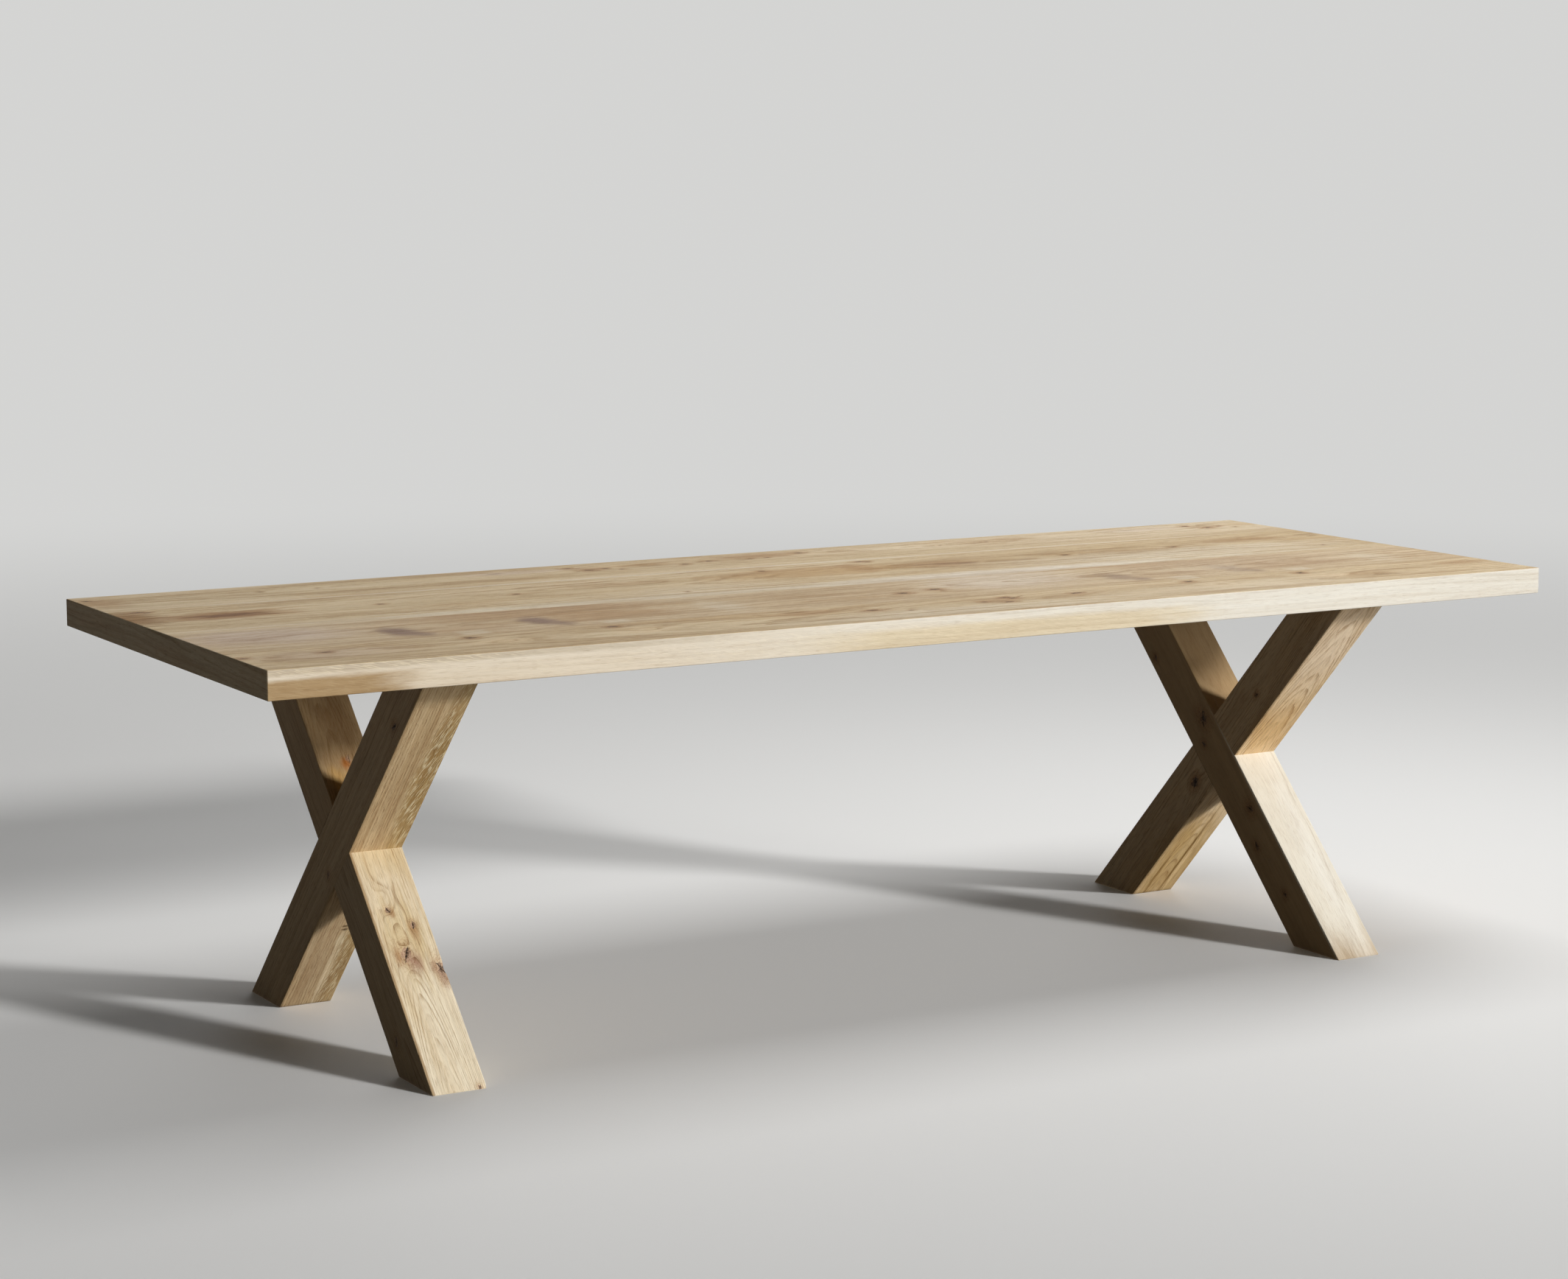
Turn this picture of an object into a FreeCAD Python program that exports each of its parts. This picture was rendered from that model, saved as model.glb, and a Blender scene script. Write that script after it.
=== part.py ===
import FreeCAD, Part
import math
import os

# A sawbuck dining table in oak: a built-up top with a mitred drop edge, on two half-lapped X trestles.
# Millimetres, with the origin on the floor under the middle of the table.
# +X runs along the table, -X is its left end, -Y is its front and +Z is up.

# Whole table
table_length = 2670.0
table_width = 1000.0
table_height = 762.0
end_overhang = 312.0  # from each end of the top to the outer face of its trestle

# Top boards and the drop edge round them
drop_edge_height = 50.0  # what shows of the top's thickness
board_thickness = 25.0  # of the drop edge too, so that they meet in a 45 degree mitre
board_width_shares = (0.203, 0.246, 0.327, 0.224)  # of the table's width, from the front
arris_ease = 1.0  # small chamfer on the top's outer edges
tongue_width = 20.0
tongue_thickness = 6.0
tongue_end_stop = 40.0  # solid board past each end of a tongue
groove_spare_depth = 0.5

# Bearers across the underside of the boards
bearer_width = 120.0
bearer_end_gap = 3.0  # lets the boards shrink across the table
bearer_place_shares = (-1.0, -0.5, 0.0, 0.5, 1.0)  # of the distance from the middle to a trestle's centre

# Round-headed screws that hold each bearer to each board, in slots that let the boards move
screw_radius = 2.5
screw_head_radius = 5.0
screw_head_height = 3.5
screw_point = 4.0
screw_bite = 15.0  # length in the board
screw_pocket_depth = 9.0
screw_pocket_room = 1.5  # round the head
screw_slot_travel = 4.0  # each way along the slot
screw_row_offset = 38.0  # from the bearer's centre line

# Trestle legs: two squared beams that cross at mid-height
beam_width = 102.0  # in the plane of the X
beam_depth = 102.0  # along the table
foot_spread = 835.0  # over the outer ends of the two soles
beam_ease = 1.5  # chamfer on the long edges

# Blind dowels across the glued lap
dowel_radius = 6.0
dowel_length = 50.0
dowel_end_gap = 0.5
dowel_offset = 24.0  # each side of the crossing

# Steel plate let into both leg tops of a trestle
plate_thickness = 8.0
plate_side_cover = 11.0  # wood left beside it
plate_end_cover = 36.0  # wood left past its ends
plate_corner_radius = 12.0
plate_room = 0.3

# Countersunk screws from the plate down into the legs
plate_screw_radius = 3.0
plate_screw_head_radius = 6.0
plate_screw_length = 45.0
plate_screw_point = 6.0
plate_screw_row_offset = 24.0
plate_screw_place_shares = (0.25, 0.68)  # of the bearing length on a leg top, from its inner edge

# Bolts up through the plate into threaded inserts in the bearer
bolt_radius = 4.0
bolt_head_flats = 13.0
bolt_head_height = 5.3
bolt_hole_radius = 4.5
bolt_place_shares = (-0.75, -0.3, 0.3, 0.75)  # of the clear half-width between the leg tops
washer_radius = 8.0
washer_thickness = 1.6
bolt_insert_radius = 6.0
bolt_insert_roof = 6.0  # bearer left over each insert

# Levelling feet, wound up into the soles
pad_radius = 15.0
pad_thickness = 7.0
pad_floor = 2.0
pad_chamfer = 1.0
pad_recess = 0.5  # from the sole up to the pad at rest
pad_roof_gap = 0.5  # over the pad at rest
pad_room = 2.0  # round the pad
key_hole_radius = 3.4
stem_radius = 5.0
stem_button_radius = 6.5
stem_button_height = 2.5
stem_key_flats = 5.0
stem_key_depth = 6.0
stem_end_gap = 2.0
leveller_travel = 12.0
leveller_insert_radius = 8.0
leveller_insert_length = 25.0
leveller_flange_radius = 11.0
leveller_flange_thickness = 1.5

# Clearances
running_fit = 0.05  # round a turning or screwed piece
overrun = 5.0  # past a face that a cut goes through

# Worked out from the sizes above
trestle_height = table_height - drop_edge_height
bearer_thickness = drop_edge_height - board_thickness
underside = table_height - board_thickness
trestle_outer = table_length / 2 - end_overhang
trestle_centre = trestle_outer - beam_depth / 2
foot_outer = foot_spread / 2
leg_reach = math.sqrt(foot_spread**2 + trestle_height**2 - beam_width**2)
leg_lean = (foot_spread * trestle_height - beam_width * leg_reach) / (trestle_height**2 - beam_width**2)
sole_length = beam_width * math.sqrt(1 + leg_lean**2)
foot_inner = foot_outer - sole_length
sole_centre = foot_outer - sole_length / 2
plate_length = foot_spread - 2 * plate_end_cover
plate_width = beam_depth - 2 * plate_side_cover
plate_underside = trestle_height - plate_thickness
bolt_insert_length = bearer_thickness - bolt_insert_roof
pad_pocket_depth = pad_recess + pad_thickness + pad_roof_gap
stem_seat = pad_recess + pad_floor
stem_top = pad_pocket_depth + leveller_insert_length + leveller_travel

ENDS = {"left": -1, "right": 1}
SIDES = {"front": -1, "back": 1}


def point(x, y, z):
    return FreeCAD.Vector(x, y, z)


def block(x_span, y_span, z_span):
    """A box between three pairs of planes, each pair in any order."""
    low = point(min(x_span), min(y_span), min(z_span))
    high = point(max(x_span), max(y_span), max(z_span))
    return Part.makeBox(high.x - low.x, high.y - low.y, high.z - low.z, low)


def prism(corners, direction):
    """A flat outline through the corners, carried along a direction."""
    return Part.Face(Part.makePolygon(corners + corners[:1])).extrude(direction)


def rod(radius, x, y, z_from, z_to):
    """An upright cylinder."""
    return Part.makeCylinder(radius, z_to - z_from, point(x, y, z_from))


def turned(profile, x, y):
    """A profile of radius and height pairs, turned about an upright axis."""
    outline = [point(x + radius, y, height) for radius, height in profile]
    face = Part.Face(Part.makePolygon(outline + outline[:1]))
    return face.revolve(point(x, y, 0), point(0, 0, 1), 360)


def hexagon_bar(flats, x, y, z_from, z_to):
    """An upright six-sided bar."""
    radius = flats / math.sqrt(3)
    angles = [math.radians(60 * step) for step in range(6)]
    corners = [point(x + radius * math.cos(a), y + radius * math.sin(a), z_from) for a in angles]
    return prism(corners, point(0, 0, z_to - z_from))


def slot(radius, travel, x, y, z_from, z_to):
    """A round-ended slot along Y."""
    middle = block((x - radius, x + radius), (y - travel, y + travel), (z_from, z_to))
    return middle.fuse([rod(radius, x, y + shift, z_from, z_to) for shift in (-travel, travel)])


# Top

def board_seams():
    """Y of every board edge, from the front edge of the top to the back one."""
    seams = [-table_width / 2]
    for share in board_width_shares:
        seams.append(seams[-1] + share * table_width)
    return seams


def board_centres():
    seams = board_seams()
    return [(low + high) / 2 for low, high in zip(seams, seams[1:])]


def bearer_places():
    return [share * trestle_centre for share in bearer_place_shares]


def bearer_screw_places(bearer_x):
    """One screw under the middle of each board, on alternate sides of the bearer's centre line."""
    return [
        (bearer_x + screw_row_offset * (-1) ** index, y)
        for index, y in enumerate(board_centres())
    ]


def eased_envelope():
    """The top's outer box with every edge eased."""
    half_length = table_length / 2
    half_width = table_width / 2
    box = block((-half_length, half_length), (-half_width, half_width), (trestle_height, table_height))
    return box.makeChamfer(arris_ease, box.Edges)


def rectangle(length, width, z):
    corners = [
        point(-length / 2, -width / 2, z),
        point(length / 2, -width / 2, z),
        point(length / 2, width / 2, z),
        point(-length / 2, width / 2, z),
    ]
    return Part.makePolygon(corners + corners[:1])


def mitred_slab():
    """The boards as one slab, undercut at 45 degrees from the arris all round."""
    lower_length = table_length - 2 * board_thickness
    lower_width = table_width - 2 * board_thickness
    lower = rectangle(lower_length, lower_width, underside)
    upper = rectangle(table_length, table_width, table_height)
    return Part.makeLoft([lower, upper], True, True).common(eased_envelope())


def tongue(seam, spare):
    """A loose tongue across a seam. With spare depth it is the cut for the grooves."""
    half_length = table_length / 2 - board_thickness - tongue_end_stop + spare
    half_width = tongue_width / 2 + spare
    middle = table_height - board_thickness / 2
    z_span = (middle - tongue_thickness / 2, middle + tongue_thickness / 2)
    return block((-half_length, half_length), (seam - half_width, seam + half_width), z_span)


def top_boards():
    seams = board_seams()
    slab = mitred_slab()
    cuts = [tongue(seam, groove_spare_depth) for seam in seams[1:-1]]
    for bearer_x in bearer_places():
        for x, y in bearer_screw_places(bearer_x):
            hole_top = underside + screw_bite + running_fit
            cuts.append(rod(screw_radius + running_fit, x, y, underside - overrun, hole_top))
    across = (-table_length / 2, table_length / 2)
    through = (underside, table_height)
    return [
        slab.common(block(across, (low, high), through)).cut(cuts)
        for low, high in zip(seams, seams[1:])
    ]


def edge_strip(half_length, half_width, side, runs_along_x):
    """A drop edge strip, mitred to the boards along its arris and to its neighbours at both ends."""
    section = [
        (0, table_height),
        (0, trestle_height),
        (board_thickness, trestle_height),
        (board_thickness, underside),
    ]
    ends = []
    for end in (-1, 1):
        corners = []
        for inset, z in section:
            along = end * (half_length - inset)
            across = side * (half_width - inset)
            corners.append(point(along, across, z) if runs_along_x else point(across, along, z))
        ends.append(Part.makePolygon(corners + corners[:1]))
    return Part.makeLoft(ends, True, True).common(eased_envelope())


def bearer(bearer_x, has_bolts):
    """A flat batten with slots for its screws, and over a trestle with holes for threaded inserts."""
    half_width = bearer_width / 2
    half_length = table_width / 2 - board_thickness - bearer_end_gap
    x_span = (bearer_x - half_width, bearer_x + half_width)
    batten = block(x_span, (-half_length, half_length), (trestle_height, underside))
    pocket_radius = screw_head_radius + screw_pocket_room
    pocket_floor = trestle_height + screw_pocket_depth
    cuts = []
    for x, y in bearer_screw_places(bearer_x):
        cuts.append(slot(pocket_radius, screw_slot_travel, x, y, trestle_height - overrun, pocket_floor))
        slot_radius = screw_radius + running_fit
        cuts.append(slot(slot_radius, screw_slot_travel, x, y, trestle_height, underside + overrun))
    if has_bolts:
        insert_top = trestle_height + bolt_insert_length
        hole_radius = bolt_insert_radius + running_fit
        for y in bolt_places():
            cuts.append(rod(hole_radius, bearer_x, y, trestle_height - overrun, insert_top))
    return batten.cut(cuts)


def bearer_screw(x, y):
    """A round-headed wood screw, seated in its pocket and driven up into a board."""
    seat = trestle_height + screw_pocket_depth
    tip = underside + screw_bite
    return turned(
        [
            (0, seat - screw_head_height),
            (screw_head_radius, seat - screw_head_height),
            (screw_head_radius, seat),
            (screw_radius, seat),
            (screw_radius, tip - screw_point),
            (0, tip),
        ],
        x,
        y,
    )


# Trestles

def leg_prism(foot_side, x_span):
    """A leaning beam between two X planes, cut level on the floor and under the top."""
    outer = foot_side * foot_outer
    inner = foot_side * foot_inner
    corners = [
        point(min(x_span), outer, 0),
        point(min(x_span), inner, 0),
        point(min(x_span), -outer, trestle_height),
        point(min(x_span), -inner, trestle_height),
    ]
    return prism(corners, point(max(x_span) - min(x_span), 0, 0))


def eased_leg(foot_side, x_span):
    leg = leg_prism(foot_side, x_span)
    long_edges = [edge for edge in leg.Edges if edge.Length > trestle_height]
    return leg.makeChamfer(beam_ease, long_edges)


def lap_dowel(centre_x, y, radius, length):
    start = point(centre_x - length / 2, y, trestle_height / 2)
    return Part.makeCylinder(radius, length, start, point(1, 0, 0))


def lap_dowels(centre_x, fit, end_gap):
    length = dowel_length + 2 * end_gap
    return [lap_dowel(centre_x, y, dowel_radius + fit, length) for y in (-dowel_offset, dowel_offset)]


def plate_blank(centre_x, room):
    """The plate's outline at its full thickness. With room round it, it is the cut in the leg tops."""
    half_width = plate_width / 2 + room
    half_length = plate_length / 2 + room
    x_span = (centre_x - half_width, centre_x + half_width)
    blank = block(x_span, (-half_length, half_length), (plate_underside, trestle_height))
    upright = [edge for edge in blank.Edges if edge.Vertexes[0].Z != edge.Vertexes[1].Z]
    return blank.makeFillet(plate_corner_radius, upright)


def plate_screw_places(centre_x, top_sides):
    """Screw places on the leg tops at the given sides of the table."""
    bearing = plate_length / 2 - foot_inner
    distances = [foot_inner + share * bearing for share in plate_screw_place_shares]
    return [
        (centre_x + row, side * distance)
        for side in top_sides
        for distance in distances
        for row in (-plate_screw_row_offset, plate_screw_row_offset)
    ]


def plate_screw(x, y, fit):
    """A countersunk wood screw, flush with the plate. With a fit round it, it is the cut for it."""
    shank = plate_screw_radius + fit
    head = plate_screw_head_radius + fit
    tip = trestle_height - plate_screw_length - fit
    return turned(
        [
            (0, trestle_height),
            (head, trestle_height),
            (shank, trestle_height - (head - shank)),
            (shank, tip + plate_screw_point),
            (0, tip),
        ],
        x,
        y,
    )


def bolt_places():
    return [share * foot_inner for share in bolt_place_shares]


def top_plate(centre_x):
    cuts = [plate_screw(x, y, running_fit) for x, y in plate_screw_places(centre_x, SIDES.values())]
    for y in bolt_places():
        cuts.append(rod(bolt_hole_radius, centre_x, y, plate_underside - overrun, trestle_height + overrun))
    return plate_blank(centre_x, 0).cut(cuts)


def washer(x, y):
    ring = rod(washer_radius, x, y, plate_underside - washer_thickness, plate_underside)
    return ring.cut(rod(bolt_radius + running_fit, x, y, trestle_height - bearer_thickness, plate_underside))


def top_bolt(x, y):
    """A hexagon-headed bolt up through its washer and the plate to the end of its insert."""
    head_top = plate_underside - washer_thickness
    head = hexagon_bar(bolt_head_flats, x, y, head_top - bolt_head_height, head_top)
    return head.fuse(rod(bolt_radius, x, y, head_top, trestle_height + bolt_insert_length)).removeSplitter()


def bolt_insert(x, y):
    insert_top = trestle_height + bolt_insert_length
    sleeve = rod(bolt_insert_radius, x, y, trestle_height, insert_top)
    return sleeve.cut(rod(bolt_radius + running_fit, x, y, trestle_height - overrun, insert_top + overrun))


# Levelling feet

def leveller_insert_profile(bore, fit):
    """A flanged sleeve from the roof of the pad's pocket upwards."""
    flange_top = pad_pocket_depth + leveller_flange_thickness
    sleeve_top = pad_pocket_depth + leveller_insert_length
    return [
        (bore, pad_pocket_depth),
        (leveller_flange_radius + fit, pad_pocket_depth),
        (leveller_flange_radius + fit, flange_top),
        (leveller_insert_radius + fit, flange_top),
        (leveller_insert_radius + fit, sleeve_top),
        (bore, sleeve_top),
    ]


def leveller_cuts(x, y):
    """The pocket for the pad, the hole for the insert, and room for the wound-up stem above it."""
    pocket = rod(pad_radius + pad_room, x, y, -overrun, pad_pocket_depth)
    insert_hole = turned(leveller_insert_profile(0, running_fit), x, y)
    stem_hole = rod(stem_radius + stem_end_gap, x, y, pad_pocket_depth, stem_top + stem_end_gap)
    return [pocket, insert_hole, stem_hole]


def leveller_insert(x, y):
    return turned(leveller_insert_profile(stem_radius + running_fit, 0), x, y)


def leveller_pad(x, y):
    """A round pad that snaps over the button on the stem, with a hole for the key."""
    pad_top = pad_recess + pad_thickness
    button_top = stem_seat + stem_button_height + running_fit
    return turned(
        [
            (key_hole_radius, pad_recess),
            (pad_radius - pad_chamfer, pad_recess),
            (pad_radius, pad_recess + pad_chamfer),
            (pad_radius, pad_top),
            (stem_radius + running_fit, pad_top),
            (stem_radius + running_fit, button_top),
            (stem_button_radius + running_fit, button_top),
            (stem_button_radius + running_fit, stem_seat),
            (key_hole_radius, stem_seat),
        ],
        x,
        y,
    )


def leveller_stem(x, y):
    """A screw with a button at its foot and a socket there for a hexagon key."""
    button_top = stem_seat + stem_button_height
    stem = turned(
        [
            (0, stem_seat),
            (stem_button_radius, stem_seat),
            (stem_button_radius, button_top),
            (stem_radius, button_top),
            (stem_radius, stem_top),
            (0, stem_top),
        ],
        x,
        y,
    )
    return stem.cut(hexagon_bar(stem_key_flats, x, y, stem_seat - pad_floor, stem_seat + stem_key_depth))


# Assembly

def top_pieces():
    """The boards, tongues, drop edge and bearers."""
    pieces = {}
    board_names = ("front", "front_middle", "back_middle", "back")
    for name, board in zip(board_names, top_boards()):
        pieces[f"top_board_{name}"] = board
    for name, seam in zip(("front", "middle", "back"), board_seams()[1:-1]):
        pieces[f"board_tongue_{name}"] = tongue(seam, 0)
    half_length = table_length / 2
    half_width = table_width / 2
    for name, side in SIDES.items():
        pieces[f"edge_strip_{name}"] = edge_strip(half_length, half_width, side, True)
    for name, side in ENDS.items():
        pieces[f"edge_strip_{name}"] = edge_strip(half_width, half_length, side, False)
    bearer_names = ("left", "left_middle", "middle", "right_middle", "right")
    screws = []
    for name, bearer_x in zip(bearer_names, bearer_places()):
        pieces[f"bearer_{name}"] = bearer(bearer_x, name in ENDS)
        screws += [bearer_screw(x, y) for x, y in bearer_screw_places(bearer_x)]
    pieces["bearer_screws"] = Part.makeCompound(screws)
    return pieces


def trestle_legs(end_name, end):
    """Two half-lapped legs: the back leg runs through outside the lap, the front leg inside it."""
    centre_x = end * trestle_centre
    full = (end * trestle_outer, end * (trestle_outer - beam_depth))
    outer_half = (end * trestle_outer, centre_x)
    inner_half = (centre_x, end * (trestle_outer - beam_depth))
    shared_cuts = lap_dowels(centre_x, running_fit, dowel_end_gap) + [plate_blank(centre_x, plate_room)]
    legs = {}
    for name, foot_side, lap_half in (("front", -1, outer_half), ("back", 1, inner_half)):
        lap = leg_prism(-foot_side, lap_half)
        screw_places = plate_screw_places(centre_x, (-foot_side,))
        screw_holes = [plate_screw(x, y, running_fit) for x, y in screw_places]
        foot_cuts = leveller_cuts(centre_x, foot_side * sole_centre)
        cuts = [lap] + shared_cuts + screw_holes + foot_cuts
        legs[f"{end_name}_{name}_leg"] = eased_leg(foot_side, full).cut(cuts)
    return legs


def trestle_pieces(end_name, end):
    """One X trestle with the steel and fasteners that hold it together and to the top."""
    centre_x = end * trestle_centre
    bolts_at = [(centre_x, y) for y in bolt_places()]
    screws_at = plate_screw_places(centre_x, SIDES.values())
    pieces = trestle_legs(end_name, end)
    pieces[f"{end_name}_lap_dowels"] = Part.makeCompound(lap_dowels(centre_x, 0, 0))
    pieces[f"{end_name}_top_plate"] = top_plate(centre_x)
    pieces[f"{end_name}_plate_screws"] = Part.makeCompound([plate_screw(x, y, 0) for x, y in screws_at])
    pieces[f"{end_name}_top_bolts"] = Part.makeCompound([top_bolt(x, y) for x, y in bolts_at])
    pieces[f"{end_name}_bolt_washers"] = Part.makeCompound([washer(x, y) for x, y in bolts_at])
    pieces[f"{end_name}_bolt_inserts"] = Part.makeCompound([bolt_insert(x, y) for x, y in bolts_at])
    return pieces


def leveller_pieces():
    """A levelling foot in each of the four soles."""
    pieces = {}
    inserts = []
    for end_name, end in ENDS.items():
        for side_name, side in SIDES.items():
            x = end * trestle_centre
            y = side * sole_centre
            inserts.append(leveller_insert(x, y))
            pieces[f"{end_name}_{side_name}_leveller_pad"] = leveller_pad(x, y)
            pieces[f"{end_name}_{side_name}_leveller_stem"] = leveller_stem(x, y)
    pieces["leveller_inserts"] = Part.makeCompound(inserts)
    return pieces


os.makedirs("parts", exist_ok=True)
table = top_pieces()
for end_name, end in ENDS.items():
    table.update(trestle_pieces(end_name, end))
table.update(leveller_pieces())
for node, shape in table.items():
    shape.exportStep(f"parts/{node}.step")
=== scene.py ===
import math

import bmesh
import bpy
import numpy as np
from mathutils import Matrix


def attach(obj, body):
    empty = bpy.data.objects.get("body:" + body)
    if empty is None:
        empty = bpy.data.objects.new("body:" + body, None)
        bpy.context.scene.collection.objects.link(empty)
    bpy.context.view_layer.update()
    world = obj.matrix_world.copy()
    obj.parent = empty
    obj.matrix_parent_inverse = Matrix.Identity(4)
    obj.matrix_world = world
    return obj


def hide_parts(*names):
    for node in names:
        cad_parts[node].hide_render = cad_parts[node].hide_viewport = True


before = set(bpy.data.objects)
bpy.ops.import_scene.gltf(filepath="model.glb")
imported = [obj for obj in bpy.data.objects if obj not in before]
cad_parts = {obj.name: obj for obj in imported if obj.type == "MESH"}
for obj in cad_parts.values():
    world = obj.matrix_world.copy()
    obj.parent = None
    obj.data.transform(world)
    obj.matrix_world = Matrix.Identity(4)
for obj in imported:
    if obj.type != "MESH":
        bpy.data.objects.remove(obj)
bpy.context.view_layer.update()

# Trestle legs: four squared beams of solid oak, cut level at the foot and the top, and halved into each
# other where they cross. Each was sawn from its own log, so figure, tone and knots differ from leg to leg.
# The lap is glued, the long arrises are eased, and the faces are planed, sanded and oiled.
LEG_LEAN = 0.97288
LEG_ANGLE = math.atan(1 / LEG_LEAN)
SOLE_CENTRE = 0.346346
TRESTLE_CENTRE = 0.972
LEG_HALF = 0.051
LEG_HEIGHT = 0.712
LEG_EASE = 0.0018
END_NAMES = {-1: "left", 1: "right"}
SIDE_NAMES = {-1: "front", 1: "back"}
LEVELLER_HOLE = [(0.0, 0.047), (0.007, 0.047), (0.007, 0.033), (0.00805, 0.033), (0.00805, 0.0095),
                 (0.01105, 0.0095), (0.01105, 0.008), (0.017, 0.008), (0.017, 0.0)]
SOLE_RIM = 0.001
LAP_ROWS = 5
MERGE_REACH, SHARP_EDGE = 2e-6, math.radians(35)
OPEN_KNOT = 0.8
CRACK_WIDTH, CRACK_DEPTH = 0.0012, 0.0024
CRACK_SLANTS = (0.8, -0.5, 0.2, -1.1)
OIL_SHEEN = 0.12
STREAK_TINT = (0.62, 0.5, 0.36)
LINE_TINT = (0.5, 0.36, 0.22)
PORE_TINT = (0.5, 0.38, 0.26)
DASH_TINT = (0.52, 0.38, 0.25)
FLECK_SHADE, FLECK_GAP_TINT = (0.76, 0.63, 0.4), (0.66, 0.54, 0.38)
HALO_TINT, KNOT_RING_TINT = (0.66, 0.45, 0.26), (0.45, 0.28, 0.16)
PIT_SHADE, CHECK_SHADE, HOLLOW_SHADE = (0.045, 0.025, 0.014), (0.014, 0.009, 0.006), (0.03, 0.017, 0.01)


class NodeNet:
    """Adds nodes to one tree. An input that is given a socket is linked, and any other value is set."""

    def __init__(self, tree):
        self.tree = tree

    def join(self, sockets, values):
        for key, value in values.items():
            if isinstance(value, bpy.types.NodeSocket):
                self.tree.links.new(value, sockets[key])
            else:
                sockets[key].default_value = value

    def put(self, kind, inputs=None, **options):
        node = self.tree.nodes.new("ShaderNode" + kind)
        for name, value in options.items():
            setattr(node, name, value)
        self.join(node.inputs, inputs or {})
        return node

    def math(self, operation, *values):
        return self.put("Math", dict(enumerate(values)), operation=operation).outputs[0]

    def times(self, first, second):
        return self.math("MULTIPLY", first, second)

    def times_plus(self, first, second, more):
        return self.math("MULTIPLY_ADD", first, second, more)

    def greatest(self, first, *others):
        for other in others:
            first = self.math("MAXIMUM", first, other)
        return first

    def vector(self, operation, *values):
        node = self.put("VectorMath", dict(enumerate(values)), operation=operation)
        return node.outputs["Value" if operation in ("LENGTH", "DOT_PRODUCT") else "Vector"]

    def combine(self, *values):
        return self.put("CombineXYZ", dict(enumerate(values))).outputs[0]

    def separate(self, vector):
        return self.put("SeparateXYZ", {0: vector}).outputs

    def ease(self, value, low, high):
        inputs = {"Value": value, "From Min": low, "From Max": high}
        return self.put("MapRange", inputs, interpolation_type="SMOOTHSTEP").outputs["Result"]

    def noise(self, vector, scales, detail=2.0, roughness=0.5):
        if scales:
            vector = self.vector("MULTIPLY", vector, scales)
        inputs = {"Vector": vector, "Scale": 1.0, "Detail": detail, "Roughness": roughness}
        return self.put("TexNoise", inputs).outputs[0]

    def waver(self, *noise):
        """Noise about nought."""
        return self.math("SUBTRACT", self.noise(*noise), 0.5)

    def mix(self, factor, first, second, blend="MIX"):
        return self.put("Mix", {0: factor, 6: first, 7: second}, data_type="RGBA",
                        blend_type=blend).outputs[2]

    def cover(self, colour, mask, strength, shade, blend="MIX"):
        """Lays a shade over a colour where a mask is."""
        return self.mix(self.times(mask, strength), colour, (*shade, 1), blend)

    def group(self, name, **inputs):
        return self.put("Group", inputs, node_tree=bpy.data.node_groups[name]).outputs

    def surface(self, colour, roughness, height, strength, distance):
        """Joins colour, roughness and the bump of a height to the tree's shader, and gives its inputs."""
        bump = self.put("Bump", {"Strength": strength, "Distance": distance, "Height": height})
        inputs = self.tree.nodes["Principled BSDF"].inputs
        self.join(inputs, {"Base Color": colour, "Roughness": roughness, "Normal": bump.outputs[0]})
        return inputs


def start_group(name, inputs, outputs):
    """Starts a shader node group with named sockets: floats where the default is a number, else vectors."""
    tree = bpy.data.node_groups.new(name, "ShaderNodeTree")
    for word, value in inputs.items():
        kind = "NodeSocketFloat" if isinstance(value, (int, float)) else "NodeSocketVector"
        socket = tree.interface.new_socket(word, in_out="INPUT", socket_type=kind)
        socket.default_value = value
    for word in outputs:
        tree.interface.new_socket(word, in_out="OUTPUT", socket_type="NodeSocketFloat")
    return NodeNet(tree), tree.nodes.new("NodeGroupInput").outputs, tree.nodes.new("NodeGroupOutput").inputs


def start_material(name):
    """A new material with its node net and the object's own coordinates."""
    material = bpy.data.materials.new(name)
    material.use_nodes = True
    net = NodeNet(material.node_tree)
    return material, net, net.put("TexCoord").outputs["Object"]


def make_oak_knot():
    """A knot: distance from its centre in its own size, squeezed so that it is drawn out along the grain
    and into the wood, with a ragged rim. Gives its heart, the dark pit in it, the stained halo, the rings
    round it, a check across the heart, and how far it pushes the growth rings."""
    net, given, out = start_group(
        "oak_knot",
        {"Grain": (0, 0, 0), "Centre": (0, 0, 0), "Size": 0.01, "Squeeze": (0.8, 1, 0.3),
         "Way": (0.5, 1, 0)},
        ("Heart", "Pit", "Halo", "Rings", "Check", "Shift"))
    offset = net.vector("SUBTRACT", given["Grain"], given["Centre"])
    offset = net.vector("MULTIPLY", offset, given["Squeeze"])
    ragged = net.waver(given["Grain"], (120, 170, 170), 3.0, 0.6)
    distance = net.math("DIVIDE", net.vector("LENGTH", offset), given["Size"])
    rough = net.times_plus(ragged, 1.7, distance)
    wave = net.math("PINGPONG", net.times(rough, 2.0), 0.5)
    across = net.math("DIVIDE", net.vector("DOT_PRODUCT", offset, given["Way"]), given["Size"])
    across = net.math("ABSOLUTE", net.times_plus(ragged, 1.1, across))
    pull = net.times_plus(net.math("POWER", distance, 2.0), 0.45, 1.0)
    net.join(out, {
        "Heart": net.ease(rough, 1.05, 0.75),
        "Pit": net.ease(rough, 0.5, 0.2),
        "Halo": net.ease(rough, 2.9, 0.6),
        "Rings": net.times(net.ease(wave, 0.28, 0.5), net.ease(rough, 3.4, 0.9)),
        "Check": net.times(net.ease(across, 0.18, 0.06), net.ease(distance, 1.25, 0.85)),
        "Shift": net.math("DIVIDE", net.times(given["Size"], 0.9), pull)})


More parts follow.
